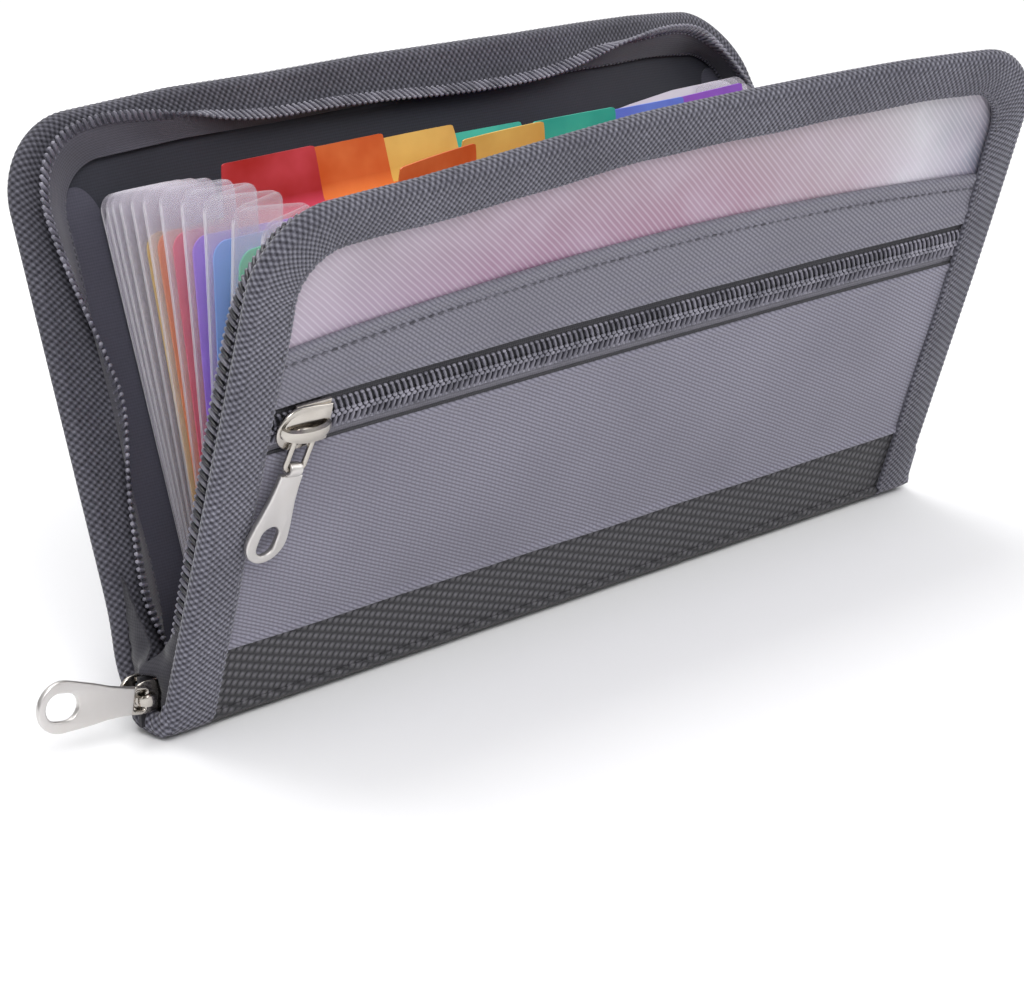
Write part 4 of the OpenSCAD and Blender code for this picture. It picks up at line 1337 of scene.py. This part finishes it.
def slider_body(name, L=11.2, Wd=8.2):
    """Flat slider plate: wide rounded nose at -X, narrower tail."""
    out = []
    n = 40
    # outline in (x, s): nose round, flanks tapering to the tail
    pts = []
    for a in np.linspace(math.pi / 2, 1.5 * math.pi, 19):
        pts.append((-1.6 + 4.4 * math.cos(a) * 1.0, 4.1 * math.sin(a)))
    pts = pts + [(1.0, -3.95), (3.4, -3.6), (5.0, -3.5), (5.0, 3.5), (3.4, 3.6), (1.0, 3.95)]
    shell = plate_obj(name + "_p", [pts], 0.85, 0.3, M["nickel"])
    return shell


def build_pocket_slider():
    sh = slider_body("slider_plate")
    # raise it to the plate's layer: local z is outward
    base = place_mat(front_pt(PSX, -6.2, PSS), EX, ES, EN)
    sh.matrix_world = base
    dome_n = 26
    U, Vv = np.meshgrid(np.linspace(-1, 1, dome_n), np.linspace(-1, 1, 18), indexing="ij")
    hx_ = 4.9 * U
    wy = (3.35 - 0.35 * (U + 1) / 2) * Vv * np.sqrt(np.clip(1 - np.clip(-U, 0, 1) ** 2.6, 0.0, 1))
    hz = 0.42 + 0.75 * (1 - np.abs(Vv) ** 2.2) * (1 - np.abs(U) ** 2.4)
    P = (front_pt(PSX, -6.2, PSS) + hx_[..., None] * EX + wy[..., None] * ES + hz[..., None] * EN)
    Pb = (front_pt(PSX, -6.2, PSS) + hx_[..., None] * EX + wy[..., None] * ES + 0.1 * EN)
    dome = slab("slider_dome", P, Pb, np.stack([hx_, wy], -1), M["nickel"], sharp=60)
    # flanges that hold the chain
    fl = []
    for j in (-1, 1):
        pts = [(-2.4, -0.42), (5.0, -0.42), (5.0, 0.42), (-2.4, 0.42)]
        f = plate_obj("slider_flange%d" % j, [pts], 0.9, 0.2, M["nickel"])
        f.matrix_world = place_mat(front_pt(PSX, -5.62, PSS + j * 3.72), EX, ES, EN)
        fl.append(f)
    # bridge: one strap that rises from the nose, runs over and comes down at the tail
    t = np.linspace(0, 1, 26)
    bx = -5.05 + 9.4 * t
    bz = 0.35 + 2.55 * np.clip(np.sin(np.pi * t), 0, 1) ** 0.42
    hw = 1.0 + 0.35 * np.sin(np.pi * t)
    ringpts = []
    prof = [(-1, -0.5), (-0.8, 0.25), (0, 0.5), (0.8, 0.25), (1, -0.5), (0.8, -0.5), (0, -0.5), (-0.8, -0.5)]
    tx_ = np.gradient(bx)
    tz_ = np.gradient(bz)
    ln_ = np.hypot(tx_, tz_)
    nx_, nz_ = -tz_ / ln_, tx_ / ln_
    V = np.zeros((len(t), len(prof), 3))
    c0 = front_pt(PSX, -6.2, PSS)
    for i in range(len(t)):
        for j, (a, b) in enumerate(prof):
            V[i, j] = c0 + EX * (bx[i] + nx_[i] * b * 0.95) + EN * (bz[i] + nz_[i] * b * 0.95) + ES * (a * hw[i])
    br = ring_sweep("slider_bridge", V, M["nickel"], np.zeros(V.shape[:2] + (2,)), sharp=60)
    ob = join([sh, dome, br] + fl, "pocket_slider_shell")
    return ride(ob, "pocket_slider", "nickel", "pocket_slider")


build_pocket_slider()


def build_pocket_pull():
    a = math.radians(11)
    # frame of the pull: rotated about the outward normal by the lean; local -Z hangs down
    ex = EX * math.cos(a) + ES * (-math.sin(a)) * 1.0
    # CAD: rotate([0, pull_lean, 0]) about local Y (which points inward)
    ex = EX * math.cos(a) - ES * math.sin(a)
    ez = EX * math.sin(a) + ES * math.cos(a)
    en = EN
    o0 = front_pt(PSX - 0.35, -7.35, PSS)
    # link: a bent frame of round wire with rounded corners
    pts = []
    rr = 0.9
    corners = [(2.0, 0.0), (2.0, -7.5), (-2.0, -7.5), (-2.0, 0.0)]
    def arc(cx, cz, a0, a1):
        return [(cx + rr * math.cos(t), cz + rr * math.sin(t)) for t in np.linspace(a0, a1, 6)]
    loop = (arc(2.0 - rr, 0.0 - rr, math.pi / 2, 0) + arc(2.0 - rr, -7.5 + rr, 0, -math.pi / 2)
            + arc(-2.0 + rr, -7.5 + rr, -math.pi / 2, -math.pi) + arc(-2.0 + rr, -rr, math.pi, math.pi / 2))
    wire = [o0 + ex * x + ez * z for x, z in loop]
    ln_ = ring_bar("pocket_link_wire", wire, 0.52, M["nickel"])
    ride(ln_, "pocket_pull_link", "nickel", "pocket_pull_link")
    # tab: knuckle round the lower bar and the flat tab with its eye
    o1 = o0 + ez * (-7.5)
    tab = plate_obj("pocket_tab_plate", [pull_outline(17.3, 8.5, neck=4.9), oblong(17.3 - 4.25 - 0.1, 5.8, 3.9)], 1.15, 0.33, M["nickel_tab"])
    tab.matrix_world = place_mat(o1 + ez * (-1.1) + en * 0.0, -ez, np.cross(en, -ez), en)
    kn = []
    for i in range(24):
        t = 2 * math.pi * i / 24
        kn.append((1.28 * math.cos(t), 1.28 * math.sin(t)))
    hole = [(0.58 * math.cos(2 * math.pi * i / 16), 0.58 * math.sin(2 * math.pi * i / 16)) for i in range(16)]
    k = plate_obj("pocket_tab_knuckle", [kn, hole], 2.6, 0.25, M["nickel_tab"])
    k.matrix_world = place_mat(o1, en, ez, ex)
    ob = join([tab, k], "pocket_tab")
    return ride(ob, "pocket_pull_tab", "nickel", "pocket_pull_tab")


build_pocket_pull()


def build_main_slider():
    """Slider on the closed tail at the left end: two shells, a rounded nose and the bridge."""
    c0 = np.array([-HX, 0.0, 7.8])
    obs = []
    for j in (-1, 1):
        pts = [(-1.8 + 3.0 * math.cos(t), 3.0 * math.sin(t)) for t in np.linspace(math.pi / 2, 1.5 * math.pi, 17)]
        pts += [(1.5, -2.8), (4.2, -2.5), (4.2, 2.5), (1.5, 2.8)]
        p = plate_obj("ms_plate%d" % j, [pts], 0.75, 0.28, M["nickel"])
        p.matrix_world = place_mat(c0 + np.array([0, j * 1.8, 0]), np.array([1.0, 0, 0]), np.array([0, 0, 1.0]), np.array([0, -1.0, 0]))
        obs.append(p)
    d = plate_obj("ms_post", [[(-3.9, -0.7), (-2.4, -0.7), (-2.4, 0.7), (-3.9, 0.7)]], 2.9, 0.2, M["nickel"])
    d.matrix_world = place_mat(c0, np.array([1.0, 0, 0]), np.array([0, 0, 1.0]), np.array([0, -1.0, 0]))
    obs.append(d)
    for j in (-1, 1):
        for k in (-1, 1):
            f = plate_obj("ms_fl%d%d" % (j, k), [[(-1.5, -0.3), (4.0, -0.3), (4.0, 0.3), (-1.5, 0.3)]], 0.5, 0.12, M["nickel"])
            f.matrix_world = place_mat(c0 + np.array([0, k * 1.25, j * 2.3]), np.array([1.0, 0, 0]), np.array([0, 0, 1.0]), np.array([0, -1.0, 0]))
            obs.append(f)
    t = np.linspace(0, 1, 22)
    bx = -4.0 + 3.4 * t
    by = 2.1 + 1.85 * np.clip(np.sin(np.pi * t), 0, 1) ** 0.4
    hw = 0.85 + 0.25 * np.sin(np.pi * t)
    prof = [(-1, -0.5), (-0.8, 0.25), (0, 0.5), (0.8, 0.25), (1, -0.5), (0.8, -0.5), (0, -0.5), (-0.8, -0.5)]
    gx, gy = np.gradient(bx), np.gradient(by)
    gl = np.hypot(gx, gy)
    V = np.zeros((len(t), len(prof), 3))
    for i in range(len(t)):
        for j, (a, b) in enumerate(prof):
            V[i, j] = c0 + np.array([bx[i] - gy[i] / gl[i] * b * 0.75, -(by[i] + gx[i] / gl[i] * b * 0.75), a * hw[i]])
    obs.append(ring_sweep("ms_bridge", V, M["nickel"], np.zeros(V.shape[:2] + (2,)), sharp=60))
    ob = join(obs, "main_slider_shell")
    return ride(ob, "main_slider", "nickel", "main_slider")


build_main_slider()


def build_main_pull():
    a = math.radians(12.0)
    c0 = np.array([-HX - 2.4, -2.85, 7.8])
    ex = np.array([-math.cos(a), 0, math.sin(a)])      # along the tab, away from the slider
    ez = np.array([math.sin(a), 0, math.cos(a)])
    en = np.array([0, -1.0, 0])
    rr = 0.8
    def arc(cx, cz, a0, a1):
        return [(cx + rr * math.cos(t), cz + rr * math.sin(t)) for t in np.linspace(a0, a1, 6)]
    loop = (arc(3.0 - rr, 2.15 - rr, math.pi / 2, 0) + arc(3.0 - rr, -2.15 + rr, 0, -math.pi / 2)
            + arc(0.0 + rr, -2.15 + rr, -math.pi / 2, -math.pi) + arc(0.0 + rr, 2.15 - rr, math.pi, math.pi / 2))
    wire = ring_bar("main_pull_wire", [c0 + ex * x + ez * z for x, z in loop], 0.45, M["nickel"])
    tab = plate_obj("main_pull_plate", [pull_outline(19.5, 9.2, neck=5.2), oblong(19.5 - 4.6 - 0.2, 6.6, 5.0)], 1.1, 0.33, M["nickel_tab"])
    tab.matrix_world = place_mat(c0 + ex * 2.9, ex, np.cross(en, ex), en)
    ob = join([wire, tab], "main_pull")
    return ride(ob, "main_pull_tab", "nickel", "main_pull_tab")


build_main_pull()

# CAD nodes that stay get their own materials
# the zip tails take the darker tape copy as painted shade
for node, key in (("spine_board", "board"), ("zip_tail_left", "tape_shaded"), ("zip_tail_right", "tape_shaded"), ("zip_end_stop", "nickel")):
    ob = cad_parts[node]
    for sl in ob.material_slots:
        sl.material = M[key]
    if not ob.material_slots:
        ob.data.materials.append(M[key])

# ---------------------------------------------------------------- stage, light, camera
floor = bpy.data.meshes.new("floor")
floor.from_pydata([(-3, -3, -0.0006), (3, -3, -0.0006), (3, 3, -0.0006), (-3, 3, -0.0006)], [], [(0, 1, 2, 3)])
fo = bpy.data.objects.new("floor", floor)
bpy.context.scene.collection.objects.link(fo)
kf = Nodes("floor_paper")
kf.set(Base_Color=(0.93, 0.93, 0.94, 1), Roughness=0.9)
floor.materials.append(kf.m)
fo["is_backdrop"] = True

world = bpy.data.worlds.new("studio")
bpy.context.scene.world = world
world.use_nodes = True
bg = world.node_tree.nodes["Background"]
wt = world.node_tree
tc = wt.nodes.new("ShaderNodeTexCoord")
sx = wt.nodes.new("ShaderNodeSeparateXYZ")
mr = wt.nodes.new("ShaderNodeMapRange")
mr.inputs[1].default_value, mr.inputs[2].default_value = -1.0, 1.0
rp_ = wt.nodes.new("ShaderNodeValToRGB")
for e_, (p_, g_) in zip([rp_.color_ramp.elements[0], rp_.color_ramp.elements[1]] + [rp_.color_ramp.elements.new(0.5) for _ in range(4)],
                        ((0.0, 0.8), (1.0, 1.0), (0.47, 0.75), (0.50, 0.10), (0.585, 0.10), (0.66, 0.85))):
    e_.position = p_
    e_.color = (g_, g_, g_, 1)
wt.links.new(tc.outputs["Generated"], sx.inputs[0])
wt.links.new(sx.outputs[2], mr.inputs[0])
wt.links.new(mr.outputs[0], rp_.inputs[0])
wt.links.new(rp_.outputs[0], bg.inputs[0])
bg.inputs[1].default_value = 0.72


def area(name, loc, target, size, power, col=(1, 1, 1), size_y=None):
    li = bpy.data.lights.new(name, "AREA")
    li.energy = power
    li.color = col
    li.shape = "RECTANGLE"
    li.size = size
    li.size_y = size_y or size
    ob = bpy.data.objects.new(name, li)
    bpy.context.scene.collection.objects.link(ob)
    d = Vector(target) - Vector(loc)
    ob.rotation_euler = d.to_track_quat("-Z", "Y").to_euler()
    ob.location = loc
    return ob


area("key", (-0.45, -0.75, 0.85), (0, 0, 0.05), 0.5, 6.6)
area("fill", (0.75, -0.5, 0.5), (0, 0, 0.05), 0.6, 2.4)
area("top", (0.0, 0.35, 0.95), (0, 0, 0.05), 0.7, 5.2)

# camera fitted to the photograph
az, el, roll = math.radians(-41.8285), math.radians(19.4226), math.radians(0.5785)
DIST, FPX, TX, TY = 612.2264, 3211.3555, -8.3139, 19.8971
back = Vector((math.sin(az) * math.cos(el), -math.cos(az) * math.cos(el), math.sin(el)))
right = Vector((math.cos(az), math.sin(az), 0))
up = back.cross(right)
cr, sr = math.cos(roll), math.sin(roll)
r2 = right * cr - up * sr
u2 = right * sr + up * cr
loc = r2 * TX + u2 * TY + back * DIST
cam = bpy.data.cameras.new("camera")
cam.sensor_fit = "HORIZONTAL"
cam.sensor_width = 36
cam.lens = FPX / 1024 * 36
cam.clip_start = 0.01
cam.clip_end = 20
co = bpy.data.objects.new("camera", cam)
bpy.context.scene.collection.objects.link(co)
mw = Matrix.Identity(4)
for i, e in enumerate((r2, u2, back)):
    for j in range(3):
        mw[j][i] = e[j]
for j in range(3):
    mw[j][3] = loc[j] * MM
co.matrix_world = mw
bpy.context.scene.camera = co
bpy.context.scene.view_settings.view_transform = "Standard"
bpy.context.scene.cycles.transparent_max_bounces = 24

vis_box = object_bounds()
as_list = lambda b: [[float(c) for c in p] for p in b]
{"cad": as_list(cad_box), "visual": as_list(vis_box)}
